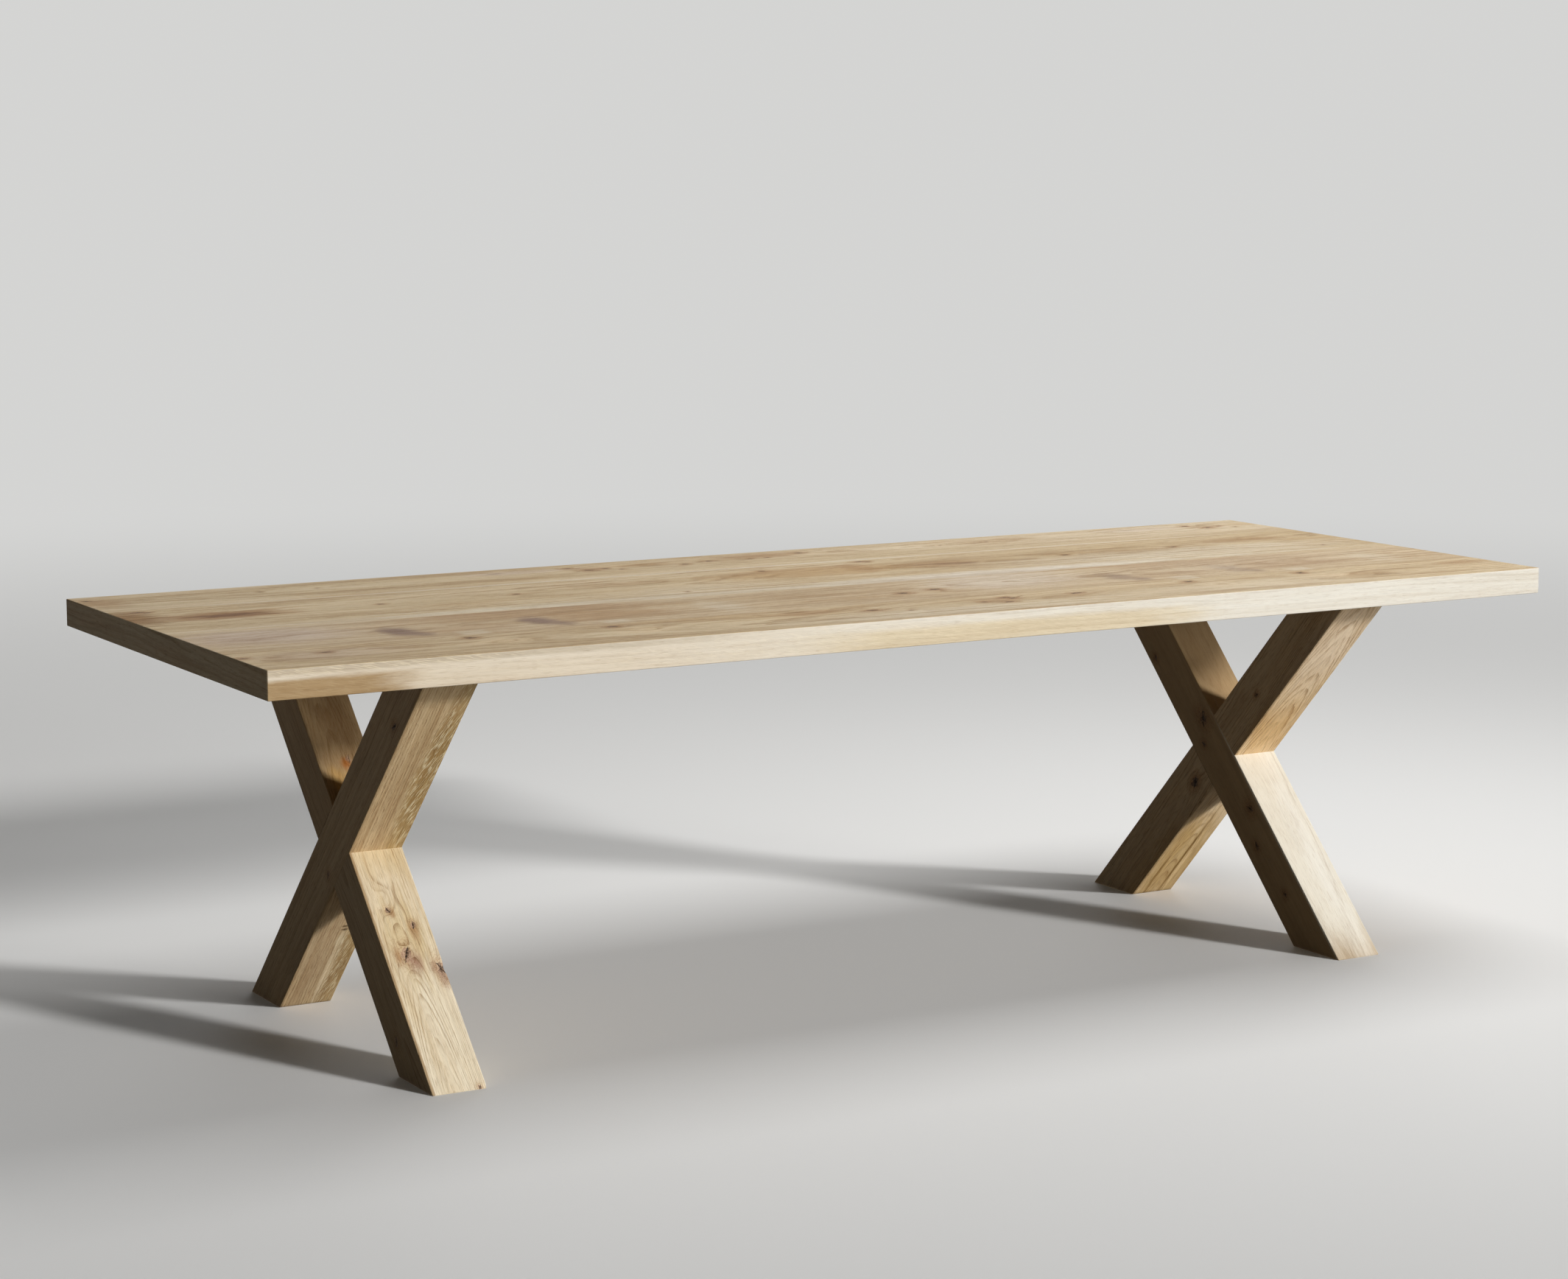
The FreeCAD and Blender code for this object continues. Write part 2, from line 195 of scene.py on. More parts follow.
def make_oak_patch():
    """A patch of other colour about a centre, round or squared, its soft rim broken up along the grain."""
    net, given, out = start_group(
        "oak_patch",
        {"Grain": (0, 0, 0), "Centre": (0, 0, 0), "Reach": (0.1, 0.1, 0.1), "Ragged": 0.5, "Soft": 0.3,
         "Square": 0.0},
        ("Mask",))
    offset = net.vector("DIVIDE", net.vector("SUBTRACT", given["Grain"], given["Centre"]), given["Reach"])
    square = net.greatest(*net.separate(net.vector("ABSOLUTE", offset)))
    inputs = {0: given["Square"], 2: net.vector("LENGTH", offset), 3: square}
    distance = net.put("Mix", inputs, data_type="FLOAT").outputs[0]
    blur = net.waver(given["Grain"], (10, 55, 55), 4.0, 0.65)
    rough = net.times_plus(blur, net.times(given["Ragged"], 2.0), distance)
    net.join(out, {"Mask": net.ease(rough, 1.0, given["Soft"])})


def make_oak_figure():
    """Oak's figure: growth rings are shells about a pith line that drifts along the grain, so a face near
    the pith shows arches and one far from it straight lines. Bands and fine lines follow the rings, dark
    pores crowd into the early wood, short dashes are the ends of rays, and pale fleck is where a ray lies
    in the face."""
    net, given, out = start_group(
        "oak_figure",
        {"Grain": (0, 0, 0), "Pith": (0, 0, -0.1), "Drift": (0, 0, 0.1), "Ring": 0.005, "Wander": 0.02,
         "Shift": 0.0, "Seed": 0.0},
        ("Line", "Tone", "Band", "Streak", "Cloud", "Fibre", "Pore", "Dash", "Fleck"))
    seed = given["Seed"]
    spot = net.vector("ADD", given["Grain"], net.combine(seed, seed, seed))
    along = net.separate(spot)[0]
    start = net.separate(given["Grain"])[0]
    pith = net.vector("MULTIPLY_ADD", given["Drift"], net.combine(start, start, start), given["Pith"])
    radial = net.vector("MULTIPLY", net.vector("SUBTRACT", given["Grain"], pith), (0, 1, 1))
    wander = net.times_plus(net.waver(spot, (9, 60, 60)), 0.15, net.waver(spot, (1.6, 9, 9)))
    distance = net.times_plus(wander, given["Wander"], net.vector("LENGTH", radial))
    distance = net.math("ADD", distance, given["Shift"])
    rings = net.math("DIVIDE", distance, given["Ring"])
    season = net.math("FRACT", rings)
    number = net.math("ADD", net.math("FLOOR", rings), seed)
    luck = net.put("TexWhiteNoise", {"W": number}, noise_dimensions="1D").outputs["Value"]
    early = net.times(net.ease(season, 0.45, 0.9), net.ease(season, 1.0, 0.93))
    broken = net.ease(net.noise(spot, (11, 90, 90)), 0.3, 0.55)
    line = net.times(net.times(early, broken), net.times_plus(luck, 0.8, 0.2))
    band = net.combine(net.times(along, 0.5), net.times(distance, 30.0), seed)
    streak = net.combine(net.times(along, 2.2), net.times(distance, 120.0), seed)
    crowd = net.times_plus(line, 0.16, net.noise(spot, (70, 1300, 1300), 1.0))
    dash = net.noise(net.vector("ADD", spot, (1.1, 0.6, 0.3)), (42, 620, 620), 0.0)
    sheared = net.put("Mapping", {"Vector": spot, "Rotation": (0, 0, 0.22)}).outputs[0]
    ribbon = net.ease(net.math("ABSOLUTE", net.waver(sheared, (19, 250, 250))), 0.075, 0.01)
    apart = net.noise(net.vector("ADD", sheared, (2.3, 0.9, 0.4)), (38, 200, 200), 1.0)
    net.join(out, {
        "Line": line,
        "Tone": net.noise(spot, (1.0, 12, 12), 3.0, 0.55),
        "Band": net.noise(band, None, 2.0, 0.66),
        "Streak": net.noise(streak, None, 5.0, 0.66),
        "Cloud": net.noise(net.vector("ADD", spot, (5.2, 1.7, 0.0)), (2.6, 19, 19), 4.0, 0.62),
        "Fibre": net.noise(spot, (9, 330, 330), 4.0, 0.66),
        "Pore": net.ease(crowd, 0.63, 0.72),
        "Dash": net.ease(dash, 0.64, 0.74),
        "Fleck": net.times(ribbon, net.ease(apart, 0.34, 0.56))})


make_oak_knot()
make_oak_patch()
make_oak_figure()


def patch(centre, reach, shade, strength, ragged=0.6, soft=0.3, square=0.0):
    """One patch of other colour for oak: where, how far each way, which colour, how strong, and its rim."""
    return centre, reach, shade, strength, ragged, soft, square


def oak(name, place, turn, pale, tan, seed, warm=(0.4, 0.255, 0.125), pith=(0.02, -0.16),
        drift=(0.0, 0.03), ring=0.006, wander=0.02, lines=0.5, streaks=0.6, clouds=0.4, fibre=0.55,
        pores=0.4, fleck=0.05, stain=0.6, heart=(0.24, 0.135, 0.07), pit=0.85, knots=(), patches=(), rays=(),
        hollows=False):
    """Oiled oak for one piece. place and turn set the grain: along it, across the show face, and out of it.
    knots are (along, across, out, size, stretch, strength) and run in from the show face, or from the side
    if that word follows. rays, where the fleck is strong, are (along, across, out, half lengths, strength).
    hollows darkens the piece's own attribute of open cracks."""
    material, net, where = start_material(name)
    grain = net.put("Mapping", {"Vector": where, "Location": place, "Rotation": turn},
                    vector_type="TEXTURE").outputs[0]
    shift = 0.0
    marks = {}
    for number, (x, y, z, size, stretch, strength, *side) in enumerate(knots):
        slant = CRACK_SLANTS[number % len(CRACK_SLANTS)]
        knot = net.group("oak_knot", Grain=grain, Centre=(x, y, z), Size=size,
                         Squeeze=(1 / stretch, 0.3, 1) if side else (1 / stretch, 1, 0.3),
                         Way=(slant, 0, 1) if side else (slant, 1, 0))
        shift = net.math("ADD", shift, knot["Shift"])
        for word in ("Heart", "Pit", "Halo", "Rings", "Check") if strength > 0 else ():
            mark = net.times(knot[word], strength)
            marks[word] = net.greatest(marks[word], mark) if word in marks else mark
    figure = net.group("oak_figure", Grain=grain, Pith=(0, *pith), Drift=(0, *drift), Ring=ring,
                       Wander=wander, Shift=shift, Seed=seed)
    tone = net.times_plus(figure["Band"], 0.55, net.times(figure["Tone"], 0.45))
    colour = net.mix(net.ease(tone, 0.34, 0.64), (*tan, 1), (*pale, 1))
    colour = net.cover(colour, net.ease(figure["Cloud"], 0.48, 0.72), clouds, warm)
    for centre, reach, shade, strength, ragged, soft, square in patches:
        mask = net.group("oak_patch", Grain=grain, Centre=centre, Reach=reach, Ragged=ragged, Soft=soft,
                         Square=square)["Mask"]
        colour = net.cover(colour, mask, strength, shade)
    colour = net.cover(colour, net.ease(figure["Streak"], 0.6, 0.3), streaks, STREAK_TINT, "MULTIPLY")
    shine = net.times_plus(figure["Fibre"], fibre, 1.0 - fibre / 2)
    colour = net.mix(1.0, colour, shine, "MULTIPLY")
    colour = net.cover(colour, figure["Line"], lines, LINE_TINT, "MULTIPLY")
    colour = net.cover(colour, figure["Pore"], pores, PORE_TINT, "MULTIPLY")
    colour = net.cover(colour, figure["Dash"], pores, DASH_TINT, "MULTIPLY")
    glint = fleck
    for x, y, z, reach, strength in rays:
        mask = net.group("oak_patch", Grain=grain, Centre=(x, y, z), Reach=reach, Ragged=0.3)["Mask"]
        glint = net.times_plus(mask, strength, glint)
    height = net.times_plus(figure["Line"], -lines, net.times(figure["Fibre"], 0.8 * fibre))
    height = net.times_plus(figure["Pore"], -1.5 * pores, height)
    height = net.times_plus(figure["Dash"], -0.7 * pores, height)
    if rays:
        gap = net.times(net.math("SUBTRACT", 1.0, figure["Fleck"]), glint)
        colour = net.cover(colour, gap, 0.8, FLECK_GAP_TINT, "MULTIPLY")
        height = net.times_plus(net.times(figure["Fleck"], glint), 1.2, height)
    colour = net.cover(colour, figure["Fleck"], glint, FLECK_SHADE)
    if marks:
        colour = net.cover(colour, marks["Halo"], stain, HALO_TINT, "MULTIPLY")
        dusky = [0.42 * value for value in heart]
        core = net.mix(net.ease(figure["Streak"], 0.35, 0.6), (*dusky, 1), (*heart, 1))
        colour = net.mix(net.times(marks["Heart"], 0.85), colour, core)
        colour = net.cover(colour, marks["Pit"], pit, PIT_SHADE)
        colour = net.cover(colour, marks["Rings"], 0.5, KNOT_RING_TINT, "MULTIPLY")
        colour = net.mix(marks["Check"], colour, (*CHECK_SHADE, 1))
        height = net.times_plus(marks["Check"], -2.5, height)
    if hollows:
        depth = net.put("Attribute", attribute_name="hollow").outputs["Fac"]
        colour = net.mix(net.ease(depth, 0.25, 1.0), colour, (*HOLLOW_SHADE, 1))
    shader = net.surface(colour, net.times_plus(figure["Line"], 0.1, 0.55), height, 0.7, 0.0006)
    net.join(shader, {"Specular IOR Level": OIL_SHEEN})
    return material


def make_piece(name, grids, material, body, slot, *nodes, hollow=None):
    """Makes one closed piece from grids of points, in metres: neighbours in a grid join in quads, points
    that coincide merge, faces turn outwards, and only edges that bend enough stay sharp."""
    starts = np.cumsum([0] + [grid.shape[0] * grid.shape[1] for grid in grids])
    quads = []
    for grid, start in zip(grids, starts):
        index = start + np.arange(grid.shape[0] * grid.shape[1]).reshape(grid.shape[:2])
        corners = (index[:-1, :-1], index[:-1, 1:], index[1:, 1:], index[1:, :-1])
        quads.append(np.stack(corners, -1).reshape(-1, 4))
    mesh = bpy.data.meshes.new(name)
    mesh.from_pydata(np.concatenate([grid.reshape(-1, 3) for grid in grids]).tolist(), [],
                     np.concatenate(quads).tolist())
    if hollow is not None:
        mesh.attributes.new("hollow", "FLOAT", "POINT").data.foreach_set("value", hollow.astype(np.float32))
    shell = bmesh.new()
    shell.from_mesh(mesh)
    bmesh.ops.remove_doubles(shell, verts=shell.verts, dist=MERGE_REACH)
    bmesh.ops.dissolve_degenerate(shell, edges=shell.edges, dist=MERGE_REACH / 2)
    bmesh.ops.recalc_face_normals(shell, faces=shell.faces)
    shell.to_mesh(mesh)
    shell.free()
    mesh.shade_smooth()
    mesh.set_sharp_from_angle(angle=SHARP_EDGE)
    mesh.materials.append(material)
    piece = bpy.data.objects.new(name, mesh)
    bpy.context.scene.collection.objects.link(piece)
    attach(piece, body)
    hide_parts(*nodes)


def leg_frame(end, side):
    """Where a leg's grain starts, at the middle of its sole, and how it turns: along the beam from the
    foot, across the front face to the left, and out of the front face."""
    lift = -LEG_ANGLE if side < 0 else math.pi + LEG_ANGLE
    return (end * TRESTLE_CENTRE, side * SOLE_CENTRE, 0.0), (0.0, lift, math.pi / 2)


def on_leg(side, along, across, face="front"):
    """A point of a leg's front face or its left side, from millimetres up the beam from the face's lower
    edge and in from the left edge of the front face, or from the front edge of the side."""
    x = along / 1000 + side * LEG_HALF * LEG_LEAN
    inward = LEG_HALF - across / 1000
    return (x, inward, LEG_HALF) if face == "front" else (x, LEG_HALF, inward)


def knot_cracks(knots, random):
    """Three short cracks in the face from each strong knot, as (start, end, half width, depth)."""
    cracks = []
    for x, y, z, size, stretch, strength, *side in knots:
        for angle in random.uniform(0, 2 * math.pi, 3) if strength >= OPEN_KNOT else ():
            wide = math.sin(angle) * size
            step = np.array((math.cos(angle) * size * stretch, 0 if side else wide, wide if side else 0))
            middle = np.array((x, y, z))
            cracks.append((middle + 0.2 * step, middle + 1.1 * step, CRACK_WIDTH, CRACK_DEPTH))
    return cracks


def crack_depth(spots, cracks):
    """Depth of the cracks at each spot: greatest on a crack's line, less towards its end, and falling off
    with the square of the distance from it."""
    depth = np.zeros(spots.shape[:-1])
    for start, end, width, deepest in cracks:
        line = end - start
        share = np.clip((spots - start) @ line / (line @ line), 0, 1)
        gap = np.linalg.norm(spots - start - share[..., None] * line, axis=-1)
        depth = np.maximum(depth, deepest * (1 - 0.6 * share) * np.exp(-(gap / width) ** 2))
    return depth


def stations(count, marks):
    """Shares from 0 to 1 along a stretch of beam, crowded where the marks are: the crowd adds up a bell
    round each mark, and equal steps of its sum are taken."""
    share = np.linspace(0, 1, 3000)
    crowd = 0.25 + np.sum([np.exp(-((share - mark) / 0.07) ** 2) for mark in marks] or [share * 0], axis=0)
    total = np.cumsum(crowd)
    return np.interp(np.linspace(total[0], total[-1], count), total, share)


def leg_skin(end, side, knots, scoops, per_face, rows, random):
    """A leg's skin. Its section is a square with eased corners, held as complex numbers, across + i out, and
    is carried up the beam between level ends: the height of a station is shared out between the sole, the
    two shoulders of the lap and the top along each line of the beam. In the lap the half that the other leg
    takes is pressed flat on the middle plane. Cracks and scoops sink it along its outward direction. The
    sole is drawn in to the pocket and the hole of the levelling foot."""
    flat = LEG_HALF - LEG_EASE
    swing = np.exp(1j * np.linspace(0, math.pi / 2, 6)[1:-1])
    quarter = np.append(LEG_HALF + 1j * np.linspace(-flat, flat, per_face),
                        flat + 1j * flat + LEG_EASE * swing)
    turns = np.array((1, 1j, -1, -1j))[:, None]
    ring = np.append((turns * quarter).ravel(), quarter[0])
    facing = np.append((turns * np.append(np.ones(per_face), swing)).ravel(), 1)
    slope = math.hypot(1, LEG_LEAN)
    rise, lean = 1 / slope, -side * LEG_LEAN / slope
    sole_half = LEG_HALF * slope
    offset = -side * slope * ring.imag
    low_shoulder = LEG_HEIGHT / 2 + (offset - sole_half) / (2 * LEG_LEAN)
    high_shoulder = LEG_HEIGHT / 2 + (offset + sole_half) / (2 * LEG_LEAN)
    bottom, top = np.full(ring.shape, SOLE_RIM), np.full(ring.shape, LEG_HEIGHT)
    spots = [knot[:3] for knot in knots if knot[5] >= OPEN_KNOT] + [scoop[0] for scoop in scoops]

    def stretch(low, high):
        """Heights of the rows between two levels, crowded at the cracks and scoops."""
        marks = []
        for x, y, z in spots:
            column = np.argmin(np.abs(ring - (y + 1j * z)))
            marks.append((x * rise + z * lean - low[column]) / (high - low)[column])
        return low + stations(rows, marks)[:, None] * (high - low)

    lap_rows = low_shoulder + np.linspace(0, 1, LAP_ROWS)[:, None] * (high_shoulder - low_shoulder)
    heights = np.vstack([stretch(bottom, low_shoulder), lap_rows, stretch(high_shoulder, top)])
    across = np.repeat(ring.real[None], len(heights), axis=0)
    out = np.repeat(ring.imag[None], len(heights), axis=0)
    along = (heights - out * lean) / rise
    place = np.stack([along, across, out], -1)
    crack = crack_depth(place, knot_cracks(knots, random))
    sunk = crack.copy()
    for centre, reach, depth in scoops:
        sunk += depth * np.exp(-np.sum(((place - centre) / reach) ** 2, axis=-1))
    lap = slice(rows, rows + LAP_ROWS)
    sunk[lap] = 0
    across = across - sunk * facing.real
    out = out - sunk * facing.imag
    across[lap] = np.where(across[lap] * end * side > 0, 0, across[lap])
    x, y, z = end * TRESTLE_CENTRE, side * SOLE_CENTRE, heights
    skin = np.stack([x - across, y + (z - out * lean) / rise * lean - out * rise, z], -1)
    edge = ring * (1 - SOLE_RIM / LEG_HALF)
    plan = ring.real + 1j * slope * ring.imag
    pocket = [(radius * plan / np.abs(plan), level) for radius, level in LEVELLER_HOLE]
    pocket.append((edge.real + 1j * slope * edge.imag, 0.0))
    sole = np.stack([np.stack([x - line.real, y - line.imag, 0 * line.real + level], -1)
                     for line, level in pocket])
    lid = np.broadcast_to((x, -y, LEG_HEIGHT), (1, len(ring), 3))
    hollow = np.zeros((len(sole) + len(skin) + 1, len(ring)))
    hollow[len(sole):-1] = crack / CRACK_DEPTH
    return np.concatenate([sole, skin, lid]), hollow.ravel()


def metres(*lengths):
    """Lengths in metres, from millimetres."""
    return tuple(length / 1000 for length in lengths)


def make_leg(end, side, seed, knots=(), scoops=(), marks=(), painted_sides=(), rays=(), per_face=30, rows=60,
             **figure):
    """One leg: its skin, cut with its own knots, and its own oak. Each knot, scoop, mark and ray begins
    with where it is, as on_leg takes it, and goes on with its size in millimetres. Marks are patches. The
    painted sides are patches that take up a whole side of the leg and lie over the marks: painted shade
    on a side turned from the low light, and painted light on a face that it falls on."""
    name = f"{END_NAMES[end]}_{SIDE_NAMES[side]}"
    knots = [(*on_leg(side, x, y, *face), size / 1000, stretch, strength, *face)
             for x, y, size, stretch, strength, *face in knots]
    scoops = [(on_leg(side, x, y), metres(*reach), depth / 1000) for x, y, *reach, depth in scoops]
    patches = [patch(on_leg(side, x, y), metres(long, wide, deep), *rest)
               for x, y, long, wide, deep, *rest in marks]
    rays = [(*on_leg(side, x, y), metres(*reach), strength) for x, y, *reach, strength in rays]
    grid, hollow = leg_skin(end, side, knots, scoops, per_face, rows, np.random.default_rng(int(seed * 10)))
    material = oak(f"oak_{name}_leg", *leg_frame(end, side), seed=seed, knots=knots,
                   patches=patches + list(painted_sides), rays=rays, hollows=True, **figure)
    make_piece(f"{name}_beam", [grid], material, "table", "oak_legs", f"{name}_leg", hollow=hollow)


def painted_shade_side(middle, reach, strength):
    """Painted shade on a leg's left side, the side turned from the low light: a browner, darker tone about a
    middle up the beam and as far each way as it reaches.
    """
    return patch((middle, LEG_HALF, 0.0), (reach, 0.006, 0.2), (0.38, 0.255, 0.13), strength, 0.1, 0.6, 1.0)


RUST = (0.36, 0.2, 0.085)
MAUVE = (0.34, 0.195, 0.13)
HONEY = (0.54, 0.4, 0.185)
TAWNY = (0.4, 0.255, 0.115)
CREAM = (0.92, 0.78, 0.54)
SPLIT = (0.1, 0.055, 0.02)
make_leg(
    -1, -1, 1.3, pale=(0.73, 0.64, 0.48), tan=(0.63, 0.515, 0.345), warm=(0.55, 0.4, 0.2),
    pith=(0.01, 0.022), drift=(0.0, -0.05), ring=0.0028, wander=0.01, lines=0.55, streaks=0.34,
    clouds=0.5, stain=0.3, pores=0.3, heart=(0.47, 0.31, 0.21), pit=0.5, per_face=46, rows=120,
    knots=[(279, 41, 10.8, 1.6, 1.0), (372, 35, 5.2, 1.2, 1.0), (336, 71, 6.2, 1.2, 1.0),
           (242, 96, 9.5, 1.8, 1.0), (4, 89, 4, 1.6, 1.0), (395, 36, 13, 1.7, 0.0),
           (694, 60, 6, 1.4, 0.6), (148, 65, 8, 1.3, 0.7, "side")],
    scoops=[(242, 101, 10, 6, 6, 2.6), (3, 100, 5, 6, 6, 2.0), (279, 41, 12, 10, 10, 0.5)],
    marks=[(315, 55, 130, 66, 30, HONEY, 0.6, 0.9, 0.1), (505, 60, 110, 110, 30, HONEY, 0.45, 0.5, 0.1),
           (364, 40, 16, 9, 20, RUST, 0.7, 0.8, 0.1), (322, 69, 30, 14, 20, RUST, 0.6, 0.9, 0.1),
           (262, 52, 36, 20, 20, MAUVE, 0.95, 0.8, 0.1), (274, 26, 30, 13, 20, RUST, 0.75, 0.9, 0.1),
           (248, 84, 22, 18, 20, MAUVE, 0.55, 0.9, 0.1), (224, 96, 30, 15, 20, MAUVE, 0.62, 0.9, 0.1),
           (850, 51, 330, 200, 200, TAWNY, 0.9, 0.2, 0.8, 1.0),
           (655, 30, 40, 30, 20, (0.6, 0.37, 0.12), 0.6, 0.8, 0.1),
           (686, 52, 22, 16, 20, (0.44, 0.15, 0.03), 0.9, 0.8, 0.1),
           # This mark, dark brown high on the front face, is painted shadow: the shade that the top's
           # overhang casts there.
           (780, 62, 120, 50, 20, (0.24, 0.135, 0.055), 0.6, 1.0, 0.1)],
    # Painted shade: the left side, turned from the low light, is made browner and darker.
    painted_sides=[painted_shade_side(0.25, 0.6, 0.85)])
make_leg(
    -1, 1, 4.1, pale=(0.65, 0.49, 0.29), tan=(0.54, 0.39, 0.215), warm=(0.47, 0.31, 0.155),
    pith=(0.1, -0.05), drift=(0.01, 0.01), ring=0.0036, wander=0.012, lines=0.36, streaks=0.55,
    clouds=0.3, fleck=0.03, knots=[(387, 30, 7, 1.4, 0.6, "side"), (825, 30, 6, 1.8, 0.8, "side")],
    marks=[(480, 96, 800, 46, 50, (0.5, 0.36, 0.15), 0.65, 0.4, 0.3),
           (80, 50, 200, 90, 50, (0.5, 0.365, 0.2), 0.5, 0.4, 0.3),
           (150, 30, 300, 70, 50, (0.42, 0.285, 0.165), 0.45, 0.8, 0.2),
           (120, 62, 190, 6, 30, CREAM, 0.9, 0.3, 0.1), (130, 69, 130, 5, 30, CREAM, 0.6, 0.4, 0.1),
           (210, 60, 40, 12, 20, (0.84, 0.72, 0.49), 0.75, 0.8, 0.1),
           (246, 61, 6, 12, 20, SPLIT, 0.9, 0.7, 0.1), (257, 59, 5, 10, 20, SPLIT, 0.9, 0.7, 0.1)],
    # Painted shade: the left side, turned from the low light, is made browner and darker.
    painted_sides=[painted_shade_side(0.5, 0.7, 0.6)],
    rays=[(740, 86, 360, 36, 30, 0.8), (120, 84, 220, 30, 30, 0.65)])
make_leg(
    1, -1, 7.7, pale=(0.43, 0.295, 0.155), tan=(0.345, 0.23, 0.115), warm=(0.34, 0.21, 0.095),
    pith=(0.02, -0.32), drift=(0.0, 0.008), ring=0.0036, wander=0.01, lines=0.16, streaks=0.16,
    clouds=0.3, fibre=0.24, pores=0.2, fleck=0.03,
    knots=[(387, 32, 9, 1.3, 0.8, "side"), (317, 65, 7, 1.3, 0.8, "side"),
           (193, 55, 6, 1.3, 0.8, "side"), (615, 35, 13, 1.4, 0.8, "side"),
           (575, 68, 6, 1.3, 0.8, "side"), (807, 82, 6, 1.3, 0.8, "side")],
    # Partly paler wood and partly painted light: the lower front face, where the low sun falls, is made
    # nearly white over the leg's brown.
    painted_sides=[patch((0.24, 0.0, LEG_HALF), (0.36, 0.2, 0.006), (0.77, 0.715, 0.6), 0.96, 0.1, 0.5, 1.0),
           patch((0.2, -0.02, LEG_HALF), (0.36, 0.045, 0.006), (0.81, 0.77, 0.68), 0.7, 0.6, 0.1)])
make_leg(
    1, 1, 9.2, pale=(0.85, 0.68, 0.45), tan=(0.74, 0.54, 0.315), warm=(0.6, 0.38, 0.16),
    pith=(0.0, 0.022), drift=(0.0, -0.06), ring=0.003, wander=0.014, lines=0.58, streaks=0.32,
    clouds=0.45, fleck=0.03, knots=[(350, 40, 10, 1.4, 1.0, "side"), (640, 45, 5, 1.4, 0.8, "side")],
    marks=[(110, 45, 260, 130, 50, (0.54, 0.34, 0.1), 0.62, 0.6, 0.3),
           (70, 28, 130, 6, 30, (0.3, 0.165, 0.045), 0.85, 0.7, 0.1),
           (130, 66, 240, 5, 30, (0.24, 0.125, 0.03), 0.95, 0.4, 0.1),
           (110, 76, 200, 7, 30, (0.84, 0.62, 0.33), 0.8, 0.6, 0.1),
           (570, 45, 130, 90, 30, (0.66, 0.41, 0.16), 0.65, 0.7, 0.2),
           (860, 45, 200, 120, 50, (0.88, 0.72, 0.53), 0.7, 0.5, 0.2)],
    # Painted shade: the left side, turned from the low light, is made browner and darker.
    painted_sides=[painted_shade_side(0.5, 0.7, 0.6)])

# Lap dowels: two fluted beech pegs across each glued lap. They are blind, so that no end shows at the
# crossing. The flutes let the glue rise as the peg is driven, and the ends are chamfered.
DOWEL_RADIUS, DOWEL_HALF, DOWEL_CHAMFER, DOWEL_TIP = 6, 25, 1.6, 4.6
DOWEL_OFFSET = 0.024


def turned(*levels, sides=64):
    """A skin turned about an upright axis, from millimetres. Each level is a radius and a height, and an
    outline that holds the radius in at each angle can follow. The rows of a thread stand for levels too."""
    angle = np.linspace(0, 2 * math.pi, sides + 1)
    rows = []
    for radius, height, *outline in levels:
        if outline:
            radius = np.minimum(radius, outline[0](angle))
        rows.append(np.stack(np.broadcast_arrays(radius, height, angle[None])[:2]))
    reach, height = np.concatenate(rows, axis=1) / 1000
    return np.stack([reach * np.cos(angle), reach * np.sin(angle), height], -1)


def flutes(radius, count, depth):
    """Reach at each angle of a fluted round: the radius less a wave."""
    return lambda angle: radius - depth * (0.5 + 0.5 * np.cos(count * angle))


def spread(grid, places, random=None):
    """A copy of a turned piece at each place, each turned on its axis by its own amount."""
    spin = np.zeros(len(places)) if random is None else random.uniform(0, 2 * math.pi, len(places))
    cos, sin = np.cos(spin)[:, None, None], np.sin(spin)[:, None, None]
    x, y, z = np.moveaxis(grid, -1, 0)
    copies = np.stack([x * cos - y * sin, x * sin + y * cos, z + 0 * cos], -1)
    return list(copies + np.array(places)[:, None, None, :])


def make_sets(name, node, grid, places, material, slot, random=None):
    """One piece at each end of the table: copies of a turned part, at places from the trestle's middle."""
    for end, end_name in END_NAMES.items():
        spots = [(end * TRESTLE_CENTRE + x, y, z) for x, y, z in places]
        make_piece(f"{end_name}_{name}", spread(grid, spots, random), material, "table", slot,
                   f"{end_name}_{node}")


def make_beech():
    """Beech along X: pale and pinkish, with faint long streaks and short dark flecks."""
    material, net, where = start_material("steamed_beech")
    streak = net.noise(where, (30, 900, 900), 3.0, 0.6)
    fleck = net.ease(net.noise(where, (350, 2600, 2600), 1.0), 0.6, 0.72)
    colour = net.mix(net.ease(streak, 0.35, 0.65), (0.52, 0.34, 0.215, 1), (0.63, 0.44, 0.3, 1))
    colour = net.cover(colour, fleck, 0.6, (0.34, 0.185, 0.1))
    net.surface(colour, net.times_plus(streak, 0.2, 0.5), streak, 0.4, 0.0003)
    return material


BEECH = make_beech()
peg = flutes(DOWEL_RADIUS, 20, 0.5)
dowel = turned(
    (0, -DOWEL_HALF), (DOWEL_TIP, -DOWEL_HALF), (DOWEL_RADIUS, DOWEL_CHAMFER - DOWEL_HALF, peg),
    (DOWEL_RADIUS, DOWEL_HALF - DOWEL_CHAMFER, peg), (DOWEL_TIP, DOWEL_HALF), (0, DOWEL_HALF), sides=80)
dowel = dowel[..., (2, 0, 1)]
places = [(0, y, LEG_HEIGHT / 2) for y in (-DOWEL_OFFSET, DOWEL_OFFSET)]
make_sets("lap_pegs", "lap_dowels", dowel, places, BEECH, "beech")

# Top plates: a flat bar of hot-rolled steel let flush into both leg tops of each trestle, drilled for
# screws and bolts. It is blacked and oiled, with mill scale in patches and a brighter bloom where it was
# handled.


